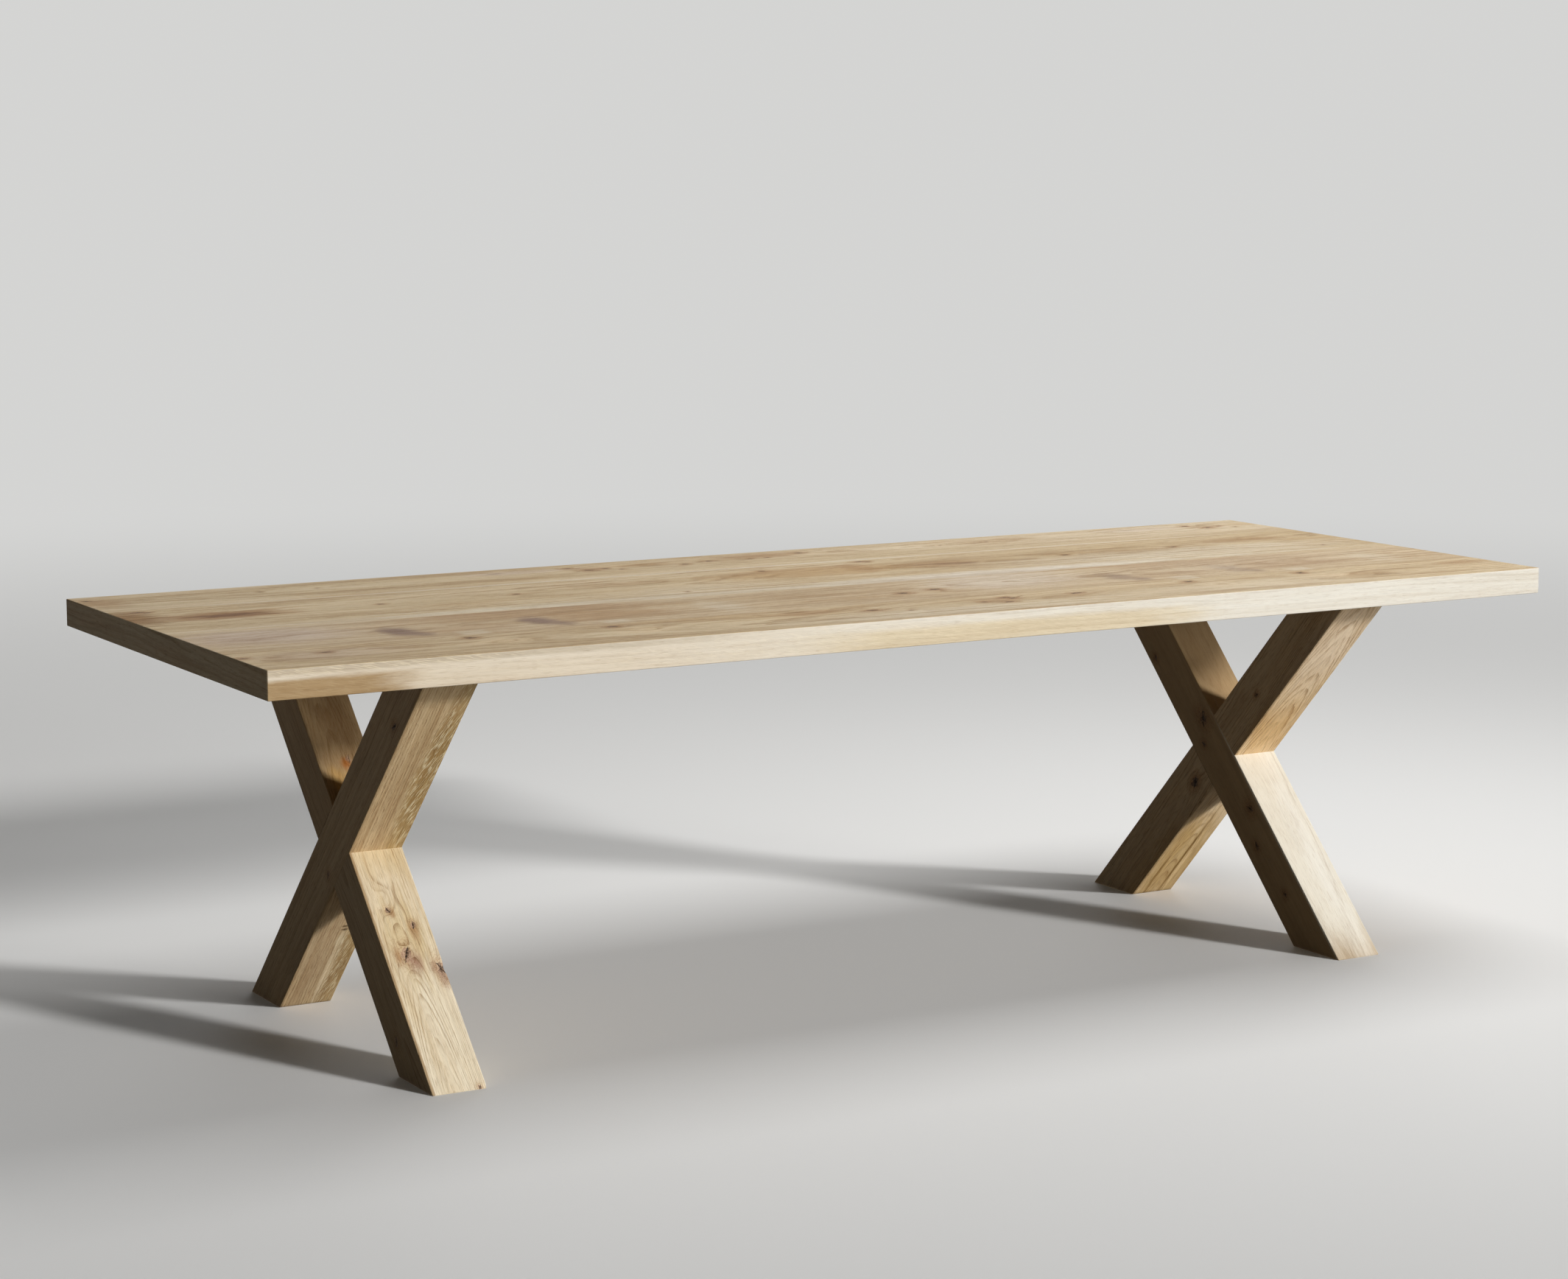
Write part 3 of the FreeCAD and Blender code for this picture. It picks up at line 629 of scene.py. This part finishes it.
def make_metal_finish():
    """What metal shows close to: slow blotches, fine scratches along one way, and specks."""
    net, given, out = start_group(
        "metal_finish", {"Where": (0, 0, 0), "Scale": 1.0}, ("Blotch", "Scratch", "Speck"))
    size = net.combine(given["Scale"], given["Scale"], given["Scale"])
    where = net.vector("MULTIPLY", given["Where"], size)
    net.join(out, {
        "Blotch": net.ease(net.noise(where, (55, 55, 55), 5.0, 0.62), 0.36, 0.66),
        "Scratch": net.ease(net.noise(where, (900, 60, 900), 3.0, 0.6), 0.52, 0.74),
        "Speck": net.ease(net.noise(where, (1400, 1400, 1400)), 0.58, 0.7)})


make_metal_finish()


def metal(name, dark, light, worn, rough, scale, metallic=1.0):
    """A metal finish: two tones in blotches, a worn one along scratches, and roughness that follows both."""
    material, net, where = start_material(name)
    finish = net.group("metal_finish", Where=where, Scale=scale)
    colour = net.mix(finish["Blotch"], (*dark, 1), (*light, 1))
    colour = net.cover(colour, finish["Scratch"], 0.5, worn)
    colour = net.cover(colour, finish["Speck"], 0.3, dark)
    roughness = net.times_plus(finish["Scratch"], 0.12, net.times_plus(finish["Blotch"], -0.12, rough))
    height = net.times_plus(finish["Speck"], -0.6, net.times(finish["Scratch"], -0.3))
    net.join(net.surface(colour, roughness, height, 0.35, 0.0002), {"Metallic": metallic})
    return material


def wear(node, material):
    """Gives a CAD node a material in place of the plain one that it came with."""
    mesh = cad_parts[node].data
    mesh.materials.clear()
    mesh.materials.append(material)


BLACK_STEEL = metal(
    "blacked_steel", (0.04, 0.041, 0.044), (0.085, 0.086, 0.09), (0.2, 0.195, 0.19), 0.5, 1.0, 0.8)
for end_name in END_NAMES.values():
    wear(f"{end_name}_top_plate", BLACK_STEEL)

# Plate screws: countersunk steel wood screws, four down through the plate into each leg top, flush with the
# plate. They are rolled, threaded for most of their length and zinc plated, with a cross recess.
PLATE_SCREW_Y = (0.301759, 0.347474)
PLATE_SCREW_X = 0.024
SCREW_SIDES = 48


def cross(arm, half_width):
    """Reach at each angle of a cross-shaped recess: the nearest arm's end or side, whichever is first."""
    def reach(angle):
        off = np.abs((angle + math.pi / 4) % (math.pi / 2) - math.pi / 4)
        return np.minimum(arm / np.cos(off), half_width / np.maximum(np.sin(off), 1e-6))
    return reach


def thread(low, high, crest, depth, pitch, point=0.0, sides=64):
    """A screw thread: its rows climb one pitch a turn, so that the ridge, a wedge on every pitch, follows
    them. Heights are held between the ends, where the ridge fades into the core. Over a point the whole
    narrows to nothing, and the last rows join the tip."""
    turn = np.linspace(0, 1, sides + 1)
    row = np.arange(0, (high - low) / pitch + 2, 1 / 6)[:, None]
    height = np.clip(low + pitch * (row - 1 + turn), low, high)
    height = np.where(high - height < 0.02 * point, high, height)
    ridge = np.clip(1 - np.abs(row % 1 - 0.5) / 0.36, 0, 1)
    fade = np.clip(np.minimum(height - low, high - height) / (0.6 * pitch), 0, 1)
    narrow = np.clip((high - height) / point, 0, 1) if point else 1.0
    return (crest - depth * (1 - ridge * fade)) * narrow, height


ZINC = metal("zinc_plate", (0.5, 0.51, 0.53), (0.7, 0.71, 0.72), (0.82, 0.82, 0.8), 0.42, 5.0)
plate_screw = turned(
    (0, 2.4), (2, 2, cross(1.6, 0.6)), (3.6, 0.1, cross(2.9, 1)), (3.6, 0), (5.7, 0), (6, 0.3), (3, 3),
    (3, 14), thread(14, 45, 3, 0.9, 2.6, 6, SCREW_SIDES), sides=SCREW_SIDES)
plate_screw = plate_screw * (1, -1, -1)
shuffle = np.random.default_rng(23)
places = [(x, side * y, LEG_HEIGHT)
          for side in (-1, 1) for y in PLATE_SCREW_Y for x in (-PLATE_SCREW_X, PLATE_SCREW_X)]
make_sets("countersunk_screws", "plate_screws", plate_screw, places, ZINC, "zinc_steel", shuffle)

# Leveller inserts: a flanged steel sleeve driven up into each sole, with a coarse thread that bites into
# the wood and a fine one inside for the foot. It is turned from bar and yellow plated.
SLEEVE = metal("yellow_plate", (0.42, 0.33, 0.17), (0.62, 0.51, 0.29), (0.7, 0.64, 0.48), 0.4, 5.0)
FEET = {f"{end_name}_{side_name}": (end * TRESTLE_CENTRE, side * SOLE_CENTRE, 0.0)
        for end, end_name in END_NAMES.items() for side, side_name in SIDE_NAMES.items()}
sleeve = turned(
    (5.05, 8.7), (5.6, 8), (10.6, 8), (11, 8.4), (11, 9.2), (10.7, 9.5), (6.9, 9.5),
    thread(9.5, 32.2, 8, 1.1, 3), (6.2, 33), (5.6, 33), (5.05, 32.4), (5.05, 8.7))
make_piece("leveller_sleeves", spread(sleeve, list(FEET.values()), shuffle), SLEEVE, "table", "insert_zinc",
           "leveller_inserts")

# Leveller stems: a steel screw in each sleeve, with a button at its foot that the pad snaps over and a
# hexagon socket there for the key. One turn moves it by its thread's pitch of 1.5 mm.
STEM_PITCH = 1.5


def hexagon(flats):
    """Reach at each angle of a hexagon: half its flats over the cosine of the angle from a flat's middle."""
    return lambda angle: flats / 2 / np.cos(angle % (math.pi / 3) - math.pi / 6)


STEEL = metal("bright_steel", (0.36, 0.36, 0.37), (0.58, 0.58, 0.58), (0.74, 0.73, 0.71), 0.36, 5.0)
key = hexagon(5)
stem = turned(
    (0, 8.8), (3, 8.5, key), (3, 2.9, key), (3.2, 2.5), (5.8, 2.5), (6.5, 3.2), (6.5, 4.5), (6.2, 5),
    (4.9, 5), (4.9, 6.2), thread(6.2, 44.3, 5, 0.9, STEM_PITCH), (3.6, 45), (0, 45))
for name, place in FEET.items():
    make_piece(f"{name}_foot_screw", spread(stem, [place]), STEEL, f"{name}_stem", "leveller_steel",
               f"{name}_leveller_stem")

# Leveller pads: moulded black nylon, snapped over the stem's button, with a grooved tread below, a fluted
# grip round the rim and a hole for the key. At rest each stands just clear of the floor, inside the sole.
PAD_SIDES = 144


def make_nylon():
    """Moulded nylon: nearly black, with a fine spark-eroded grain and dusty scuffs."""
    material, net, where = start_material("black_nylon")
    scuff = net.ease(net.noise(where, (260, 260, 260), 4.0, 0.65), 0.5, 0.72)
    colour = net.cover((0.022, 0.022, 0.024, 1), scuff, 0.6, (0.06, 0.058, 0.055))
    grain = net.noise(where, (3200, 3200, 3200))
    net.surface(colour, net.times_plus(scuff, 0.2, 0.45), grain, 0.5, 0.0002)
    return material


NYLON = make_nylon()
grip = flutes(15, 36, 0.6)
pad = turned(
    (3.4, 0.9), (3.8, 0.5), (8, 0.5), (8.3, 0.9), (9.5, 0.9), (9.8, 0.5), (11.2, 0.5), (11.5, 0.9),
    (12.7, 0.9), (13, 0.5), (13.8, 0.5), (14.4, 0.9), (15, 1.8, grip), (15, 6.2, grip), (14.4, 7.1),
    (13.6, 7.5), (5.7, 7.5), (5.05, 7.1), (5.05, 5.05), (6.55, 5.05), (6.55, 2.5), (3.4, 2.5), (3.4, 0.9),
    sides=PAD_SIDES)
for name, place in FEET.items():
    make_piece(f"{name}_foot_pad", spread(pad, [place]), NYLON, f"{name}_pad", "leveller_nylon",
               f"{name}_leveller_pad")

# Top boards: four oak boards of unlike width, glued edge to edge with a loose tongue in each seam. The
# seams show only where the figure and the tone change. The face is sanded through and finished with a clear
# matt oil.
TOP = 0.762
HALF_LENGTH, HALF_WIDTH = 1.335, 0.5
LOG_LENGTH, LAST_MARK = 1506, 2680
MARK_DEPTH = 30


def on_top(x, y):
    """A point of the top, from millimetres right of the left end and forward of the back edge."""
    return x / 1000 - HALF_LENGTH, HALF_WIDTH - y / 1000, TOP


def twice(*rows):
    """The boards are joined end to end from one log, so a mark comes again one length further along. A mark
    that comes more than once in the log has several places."""
    return [(x + again, *rest) for places, *rest in rows for x in np.atleast_1d(places).tolist()
            for again in (0, LOG_LENGTH) if x + again < LAST_MARK]


def make_board(place, seed, knots, marks, rays=(), **figure):
    """One board in its own oak. Each knot, mark and ray begins with where it is, as on_top takes it, and
    goes on with its size in millimetres. Marks are patches."""
    knots = [(*on_top(x, y), size / 1000, *rest) for x, y, size, *rest in knots]
    patches = [patch(on_top(x, y), metres(long, wide, MARK_DEPTH), *rest)
               for x, y, long, wide, *rest in marks]
    rays = [(*on_top(x, y), metres(long, wide, MARK_DEPTH), strength) for x, y, long, wide, strength in rays]
    wear(f"top_board_{place}", oak(
        f"oak_{place}_board", (0, 0, 0), (0, 0, 0), seed=seed, warm=AMBER, knots=knots, patches=patches,
        rays=rays, **figure))


SAP = (0.63, 0.555, 0.425)
BONE = (0.65, 0.565, 0.43)
ROSY = (0.53, 0.425, 0.335)
UMBER = (0.33, 0.185, 0.072)
AMBER = (0.43, 0.275, 0.12)
WHEAT = (0.64, 0.49, 0.3)
RUSSET = (0.16, 0.07, 0.026)
PLUM = (0.2, 0.124, 0.092)
make_board(
    "back", 2.2, pale=(0.6, 0.49, 0.33), tan=(0.48, 0.365, 0.21), pith=(0.42, 0.6),
    drift=(0.012, 0.01), ring=0.005, wander=0.022, lines=0.44, streaks=0.6, clouds=0.45,
    knots=twice(
        (1000, 53, 8, 1.3, 0.9), (1027, 100, 9, 1.4, 0.9), (1067, 87, 6, 1.3, 0.8),
        (1091, 113, 5, 1.3, 0.8), (1236, 107, 6, 1.4, 0.9), (1300, 87, 7, 1.3, 0.9),
        (1393, 93, 4, 1.3, 0.7), (1433, 93, 4, 1.3, 0.7), (345, 87, 4, 1.4, 0.6),
        (460, 85, 4, 1.4, 0.6), (20, 55, 8, 1.5, 0.7)),
    marks=twice(
        (880, 62, 170, 40, ROSY, 0.6, 0.6, 0.2), (840, 60, 30, 12, PLUM, 0.55, 0.6, 0.1),
        (1030, 85, 62, 46, UMBER, 0.5, 0.8, 0.1), (1150, 75, 110, 34, AMBER, 0.55, 0.7, 0.2))
    + [(1430, 60, 150, 52, UMBER, 0.68, 0.6, 0.2), (30, 110, 80, 90, UMBER, 0.55, 0.6, 0.1),
       (1980, 80, 170, 42, AMBER, 0.4, 0.7, 0.2), (1335, 217, 1600, 11, SAP, 0.9, 0.4),
       # The last patch, pale over the board's right end, is painted sheen: the glancing reflection of the
       # low light on the oil.
       (2300, 100, 620, 200, BONE, 0.3, 0.3, 0.1)])
make_board(
    "back_middle", 5.4, pale=(0.57, 0.455, 0.29), tan=(0.455, 0.34, 0.19), pith=(0.14, 0.5),
    drift=(-0.006, 0.016), ring=0.0056, wander=0.022, lines=0.46, streaks=0.6, clouds=0.4,
    knots=twice(
        (473, 357, 6, 1.4, 0.9), (747, 353, 6, 1.4, 0.9), (1313, 282, 7, 1.4, 0.9),
        (51, 246, 6, 2.4, 1.0), (63, 258, 4, 2.0, 1.0), (960, 330, 22, 6.0, 0.0),
        (1040, 480, 5, 1.0, 0.7)),
    marks=twice(
        (178, 352, 160, 66, UMBER, 0.6, 0.7, 0.1), (188, 358, 96, 26, RUSSET, 0.55, 0.8, 0.2),
        (120, 352, 70, 8, RUSSET, 0.5, 0.6, 0.2), (228, 372, 40, 16, RUSSET, 0.5, 0.8, 0.2),
        (980, 326, 160, 40, UMBER, 0.42, 0.8, 0.2))
    + [(178, 352, 180, 62, UMBER, 0.75, 0.6, 0.3), (186, 358, 104, 30, RUSSET, 0.95, 0.7, 0.3),
       (1380, 340, 300, 92, AMBER, 0.72, 0.5, 0.4), (1500, 330, 56, 95, UMBER, 0.55, 0.7, 0.2),
       (10, 320, 75, 130, (0.24, 0.13, 0.042), 0.95, 0.5, 0.3), (1335, 526, 1700, 36, SAP, 0.95, 0.5),
       (1700, 522, 560, 60, (0.7, 0.645, 0.56), 0.8, 0.3, 0.1),
       # The first patch on the next line, pale and greyer over the right end, is painted sheen: the glancing
       # reflection of the low light on the oil.
       (2180, 440, 640, 120, (0.66, 0.59, 0.465), 0.62, 0.4, 0.2), (1080, 450, 260, 60, BONE, 0.4, 0.4, 0.1),
       (2440, 306, 150, 34, UMBER, 0.35, 0.8, 0.2), (1335, 491, 1700, 5, (0.72, 0.66, 0.52), 0.6, 0.5)],
    rays=[(150, 250, 100, 20, 0.4), (1650, 250, 100, 20, 0.4), (500, 478, 450, 16, 0.35),
          (1900, 478, 450, 16, 0.35)])
make_board(
    "front_middle", 8.6, pale=(0.55, 0.435, 0.285), tan=(0.45, 0.335, 0.2), pith=(-0.17, 0.64),
    drift=(0.004, 0.02), ring=0.0052, wander=0.022, lines=0.52, streaks=0.7, clouds=0.35,
    knots=[(1378, 700, 9, 1.5, 1.0), (1457, 684, 10, 1.3, 1.0), (1270, 703, 24, 8.0, 0.0)],
    marks=twice(
        (140, 640, 210, 130, ROSY, 0.85, 0.4, 0.3), (640, 596, 330, 84, UMBER, 0.52, 0.5, 0.4),
        (760, 690, 210, 80, UMBER, 0.62, 0.7, 0.3), (470, 720, 130, 70, UMBER, 0.34, 0.7, 0.3),
        (1000, 690, 60, 100, SAP, 0.5, 0.6, 0.2), ((360, 629), 700, 50, 86, PLUM, 0.55, 0.6, 0.1),
        ((384, 654), 752, 32, 40, PLUM, 0.6, 0.6, 0.1), ((466, 742), 772, 36, 30, SAP, 0.62, 0.2, 0.4, 0.9))
    + [(356, 698, 44, 76, PLUM, 0.8, 0.6, 0.2), (626, 698, 44, 76, PLUM, 0.8, 0.6, 0.2),
       # The second patch on the next line, pale over the right end, is painted sheen: the glancing
       # reflection of the low light on the oil.
       (1640, 640, 260, 150, BONE, 0.62, 0.4, 0.1), (2220, 640, 480, 190, BONE, 0.34, 0.3, 0.1)])
make_board(
    "front", 11.9, pale=(0.59, 0.475, 0.305), tan=(0.475, 0.355, 0.205), pith=(-0.4, 0.58),
    drift=(-0.005, 0.014), ring=0.005, wander=0.024, lines=0.5, streaks=0.7, clouds=0.45,
    knots=twice(
        ((433, 704), 829, 9, 1.3, 1.0), ((157, 11), 860, 7, 1.4, 0.9), ((470, 740), 890, 9, 2.0, 0.0),
        (1205, 873, 8, 1.4, 1.0), (1267, 907, 5, 1.4, 0.8), (1073, 838, 18, 3.5, 0.0))
    + [(1440, 880, 6, 1.4, 0.9), (1482, 900, 8, 1.4, 0.9), (1507, 847, 8, 1.4, 1.0),
       (1653, 860, 7, 1.4, 0.9)],
    marks=twice(
        (1090, 850, 116, 40, UMBER, 0.58, 0.6, 0.2), (1210, 885, 74, 38, UMBER, 0.42, 0.8, 0.2),
        ((470, 740), 890, 90, 50, WHEAT, 0.5, 0.8, 0.2))
    + [(1470, 880, 80, 52, UMBER, 0.5, 0.8, 0.2), (150, 880, 190, 70, ROSY, 0.45, 0.6, 0.2),
       # The second patch on the next line, pale over the right end, is painted sheen: the glancing
       # reflection of the low light on the oil.
       (1330, 950, 520, 80, SAP, 0.55, 0.4, 0.1), (2000, 930, 560, 130, BONE, 0.38, 0.4, 0.1)])

# Loose tongues: strips of birch plywood in a groove along each seam, which line the boards up for gluing.
# They stand inside the wood and can't be seen on the finished table.
TONGUE_MIDDLE = 0.7495
PLY = 0.0012


def make_birch_ply():
    """Plywood: plies one above another, every other one cross-grained and darker, and thin glue lines."""
    material, net, where = start_material("birch_ply")
    height = net.separate(net.vector("SUBTRACT", where, (0, 0, TONGUE_MIDDLE)))[2]
    layer = net.math("DIVIDE", net.math("ADD", height, 0.5 * PLY), PLY)
    odd = net.math("PINGPONG", net.math("FLOOR", layer), 1.0)
    edge = net.math("PINGPONG", layer, 0.5)
    fibre = net.noise(where, (12, 420, 420), 3.0, 0.6)
    colour = net.mix(net.ease(fibre, 0.35, 0.65), (0.58, 0.45, 0.29, 1), (0.69, 0.57, 0.4, 1))
    colour = net.cover(colour, odd, 0.5, (0.47, 0.33, 0.19))
    colour = net.mix(net.ease(edge, 0.1, 0.02), colour, (0.2, 0.115, 0.06, 1))
    net.surface(colour, net.times_plus(fibre, 0.2, 0.55), fibre, 0.4, 0.0003)
    return material


BIRCH_PLY = make_birch_ply()
for place in ("front", "middle", "back"):
    wear(f"board_tongue_{place}", BIRCH_PLY)

# Drop edge: four oak strips that make the top look thick, folded down from the boards along a mitre at the
# arris and mitred to each other at the corners. The front strip runs from tan to nearly white along its
# length.
QUARTER = math.pi / 2
STRIP_MIDDLE = 0.737
IVORY = (0.68, 0.645, 0.565)
STRAW = (0.6, 0.505, 0.345)
BISCUIT = (0.31, 0.205, 0.095)
OATMEAL = (0.465, 0.4, 0.305)
wear("edge_strip_front", oak(
    "oak_front_strip", (0, -HALF_WIDTH, STRIP_MIDDLE), (QUARTER, 0, 0), pale=(0.63, 0.565, 0.46),
    tan=(0.575, 0.495, 0.38), seed=6.3, pith=(0.1, -0.2), drift=(0.004, 0.006), ring=0.0045,
    wander=0.012, lines=0.14, streaks=0.22, clouds=0.2, warm=(0.48, 0.37, 0.23), fibre=0.3, pores=0.16,
    patches=[patch((1.0, 0.0, 0.0), (1.75, 0.5, 0.08), IVORY, 1.0, 0.3, 0.3),
             patch((0.1, -0.012, 0.0), (0.52, 0.027, 0.08), STRAW, 0.9, 0.25, 0.5, 0.8),
             patch((-HALF_LENGTH, -0.014, 0.0), (0.3, 0.026, 0.08), BISCUIT, 0.95, 0.2, 0.6, 0.9),
             patch((-1.02, 0.022, 0.0), (0.7, 0.011, 0.08), OATMEAL, 0.9, 0.3, 0.4, 0.8)],
    rays=[(-1.15, 0.02, 0.0, (0.4, 0.012, 0.05), 0.22), (-0.2, 0.0, 0.0, (0.9, 0.03, 0.05), 0.06)]))
wear("edge_strip_back", oak(
    "oak_back_strip", (0, HALF_WIDTH, STRIP_MIDDLE), (-QUARTER, 0, 0), pale=(0.62, 0.51, 0.36),
    tan=(0.53, 0.41, 0.26), seed=16.1, pith=(0.1, -0.2), drift=(0.004, 0.006), ring=0.0045,
    wander=0.012, lines=0.26, fleck=0.08))
for end, pale, tan, seed in ((-1, (0.5, 0.385, 0.24), (0.42, 0.315, 0.18), 12.5),
                             (1, (0.56, 0.44, 0.28), (0.47, 0.35, 0.21), 13.7)):
    wear(f"edge_strip_{END_NAMES[end]}", oak(
        f"oak_{END_NAMES[end]}_strip", (end * HALF_LENGTH, 0, STRIP_MIDDLE), (QUARTER, 0, end * QUARTER),
        pale, tan, seed, pith=(0.08, -0.15), drift=(0.006, 0.02), ring=0.005, lines=0.3))

# Bearers: five oak battens across the underside of the boards, inside the drop edge, which keep the top
# flat. They are planed and oiled once, and slotted for their screws so that the boards can shrink and
# swell.
BEARERS = {"left": -1.0, "left_middle": -0.5, "middle": 0.0, "right_middle": 0.5, "right": 1.0}
for number, (name, share) in enumerate(BEARERS.items()):
    wear(f"bearer_{name}", oak(
        f"oak_{name}_bearer", (share * TRESTLE_CENTRE, 0.0, LEG_HEIGHT), (math.pi, 0, QUARTER),
        pale=(0.58, 0.455, 0.29), tan=(0.47, 0.35, 0.2), seed=21.3 + 3.1 * number, pith=(0.01, -0.06),
        drift=(0.01, 0.02), ring=0.0042, fleck=0.06,
        knots=[(0.31 - 0.17 * number, 0.02 - 0.012 * number, 0.0, 0.007, 1.4, 0.9)]))

# Bearer screws: round-headed zinc-plated wood screws, one up into each board, each in its own pocket and
# slot. The pockets stand on alternate sides of the bearer's middle so that the wood doesn't split.
SCREW_ROW = 0.038
BOARD_MIDDLES = (-0.3985, -0.174, 0.1125, 0.388)
bearer_screw = turned(
    (0, 719.7), (2, 719.4, cross(1.3, 0.5)), (3, 717.6, cross(2.6, 0.9)), (3, 717.5), (3.9, 717.75),
    (4.6, 718.4), (5, 719.4), (5, 720.6), (4.8, 721), (2.5, 721), (2.5, 736),
    thread(736, 752, 2.5, 0.8, 2.2, 4, SCREW_SIDES), sides=SCREW_SIDES)
places = [(share * TRESTLE_CENTRE + SCREW_ROW * (-1) ** number, y, 0.0)
          for share in BEARERS.values() for number, y in enumerate(BOARD_MIDDLES)]
make_piece("round_head_screws", spread(bearer_screw, places, shuffle), ZINC, "table", "zinc_steel",
           "bearer_screws")

# Bolt inserts: threaded steel sleeves, four in each end bearer, wound in flush so that the trestles can
# come off. A coarse thread holds in the oak, and the bolt runs in the bore.
PLATE_HALF = 0.27519
BOLT_PLACES = [(0, share * PLATE_HALF, 0) for share in (-0.75, -0.3, 0.3, 0.75)]
bolt_sleeve = turned(
    (4.05, 712.6), (4.6, 712), (5.2, 712), thread(712, 730.4, 6, 0.8, 2.2), (4.8, 731), (4.5, 731),
    (4.05, 730.5), (4.05, 712.6))
make_sets("bolt_sleeves", "bolt_inserts", bolt_sleeve, BOLT_PLACES, SLEEVE, "insert_zinc", shuffle)

# Top bolts: hexagon-headed steel bolts, up through the plate into the inserts, each on a flat washer. They
# are zinc plated; the heads are chamfered and the shanks threaded for most of their length.
bolt_head = hexagon(13)
bolt = turned(
    (0, 697.1), (5.8, 697.1),
    *[(6.1 + 1.6 * step, 697.1 + 0.9 * step, bolt_head) for step in (0, 0.25, 0.5, 0.75, 1)],
    (8, 702.1, bolt_head), (6.1, 702.1), (6.1, 702.4), (3.9, 702.4), (3.9, 708),
    thread(708, 730.4, 4, 0.7, 1.25), (2.8, 731), (0, 731))
washer = turned(
    (4.2, 702.6), (4.4, 702.4), (7.7, 702.4), (8, 702.7), (8, 703.7), (7.8, 704), (4.4, 704), (4.2, 703.8),
    (4.2, 702.6))
make_sets("hexagon_bolts", "top_bolts", bolt, BOLT_PLACES, ZINC, "zinc_steel", shuffle)
make_sets("flat_washers", "bolt_washers", washer, BOLT_PLACES, ZINC, "zinc_steel")

# Floor and light: a pale studio floor that fades into a pale background, soft light from low at the front
# right, a lamp overhead and a weak light from behind, so that the left sides of the wood fall into shade as
# they do by a window. From below the floor can be seen through, and the soles on it catch a little light.
BACKDROP = (0.66, 0.66, 0.65, 1)
FLOOR_RADIUS, FADE_START, FADE_END = 40, 2.2, 9.0
SOLE_LIGHT, SOLE_REACH = 0.2, 0.004
SKY_LIGHT = 0.06


def light_path(net):
    """The kinds of ray, and a mask of those that see: straight, in a mirror or through glass."""
    path = net.put("LightPath").outputs
    mirrored = net.greatest(path["Is Glossy Ray"], path["Is Transmission Ray"])
    return path, net.greatest(path["Is Camera Ray"], mirrored)


bpy.ops.mesh.primitive_circle_add(vertices=96, radius=FLOOR_RADIUS, fill_type="NGON")
floor = bpy.context.object
floor.name = "studio_floor"
floor_paint, net, where = start_material("pale_floor")
path, seen = light_path(net)
matt = floor_paint.node_tree.nodes["Principled BSDF"]
paint = net.mix(path["Is Camera Ray"], (0.17, 0.165, 0.155, 1), (0.8, 0.795, 0.78, 1))
net.join(matt.inputs, {"Base Color": paint, "Roughness": 0.9})
fade = net.times(net.ease(net.vector("LENGTH", where), FADE_START, FADE_END), seen)
below = net.times(net.put("NewGeometry").outputs["Backfacing"], path["Is Camera Ray"])
near = net.times(net.math("LESS_THAN", path["Ray Length"], SOLE_REACH), path["Is Diffuse Ray"])
glow = net.put("Emission", {"Color": BACKDROP, "Strength": 1.0})
gleam = net.put("Emission", {"Color": BACKDROP, "Strength": SOLE_LIGHT})
surface = matt
for mask, layer in ((fade, glow), (below, net.put("BsdfTransparent")), (near, gleam)):
    surface = net.put("MixShader", {0: mask, 1: surface.outputs[0], 2: layer.outputs[0]})
net.join(floor_paint.node_tree.nodes["Material Output"].inputs, {"Surface": surface.outputs[0]})
floor.data.materials.append(floor_paint)


def lamp(name, kind, place, aim, power, **options):
    """A lamp that stands at a place and shines at a point."""
    light = bpy.data.lights.new(name, kind)
    light.energy = power
    for word, value in options.items():
        setattr(light, word, value)
    holder = bpy.data.objects.new(name, light)
    bpy.context.scene.collection.objects.link(holder)
    holder.location = place
    line = np.subtract(aim, place)
    tilt = math.acos(-line[2] / np.linalg.norm(line))
    holder.rotation_euler = (tilt, 0, math.atan2(line[1], line[0]) - math.pi / 2)
    return holder


lamp("window_light", "SUN", (5.04, -8.07, 3.09), (0.0, 0.0, 0.0), 3.05, angle=math.radians(6))
lamp("low_window_light", "SUN", (4.68, -8.8, 0.87), (0.0, 0.0, 0.0), 1.4, angle=math.radians(20))
back_light = lamp("back_light", "SUN", (5.72, 8.18, 0.52), (0.0, 0.0, 0.0), 1.8, angle=math.radians(40))
back_light.visible_glossy = False
lamp("ceiling_lamp", "AREA", (1.9, 0.0, 4.0), (1.2, 0.0, 0.7), 98, size=2.4)
world = bpy.data.worlds.new("studio_sky")
bpy.context.scene.world = world
world.use_nodes = True
net = NodeNet(world.node_tree)
path, seen = light_path(net)
strength = net.times_plus(seen, 1 - SKY_LIGHT, SKY_LIGHT)
net.join(world.node_tree.nodes["Background"].inputs, {"Color": BACKDROP, "Strength": strength})

# Camera: where the photograph was taken from, found from the table's own corners.
lens = bpy.data.cameras.new("camera")
lens.sensor_fit = "HORIZONTAL"
lens.sensor_width = 36.0
lens.lens = 78.634
camera = bpy.data.objects.new("camera", lens)
bpy.context.scene.collection.objects.link(camera)
camera.location = (-3.30958, -5.57366, 1.59216)
camera.rotation_euler = (math.radians(90 - 8.2477), 0, math.radians(-29.948))
bpy.context.scene.camera = camera
bpy.context.scene.view_settings.view_transform = "Standard"
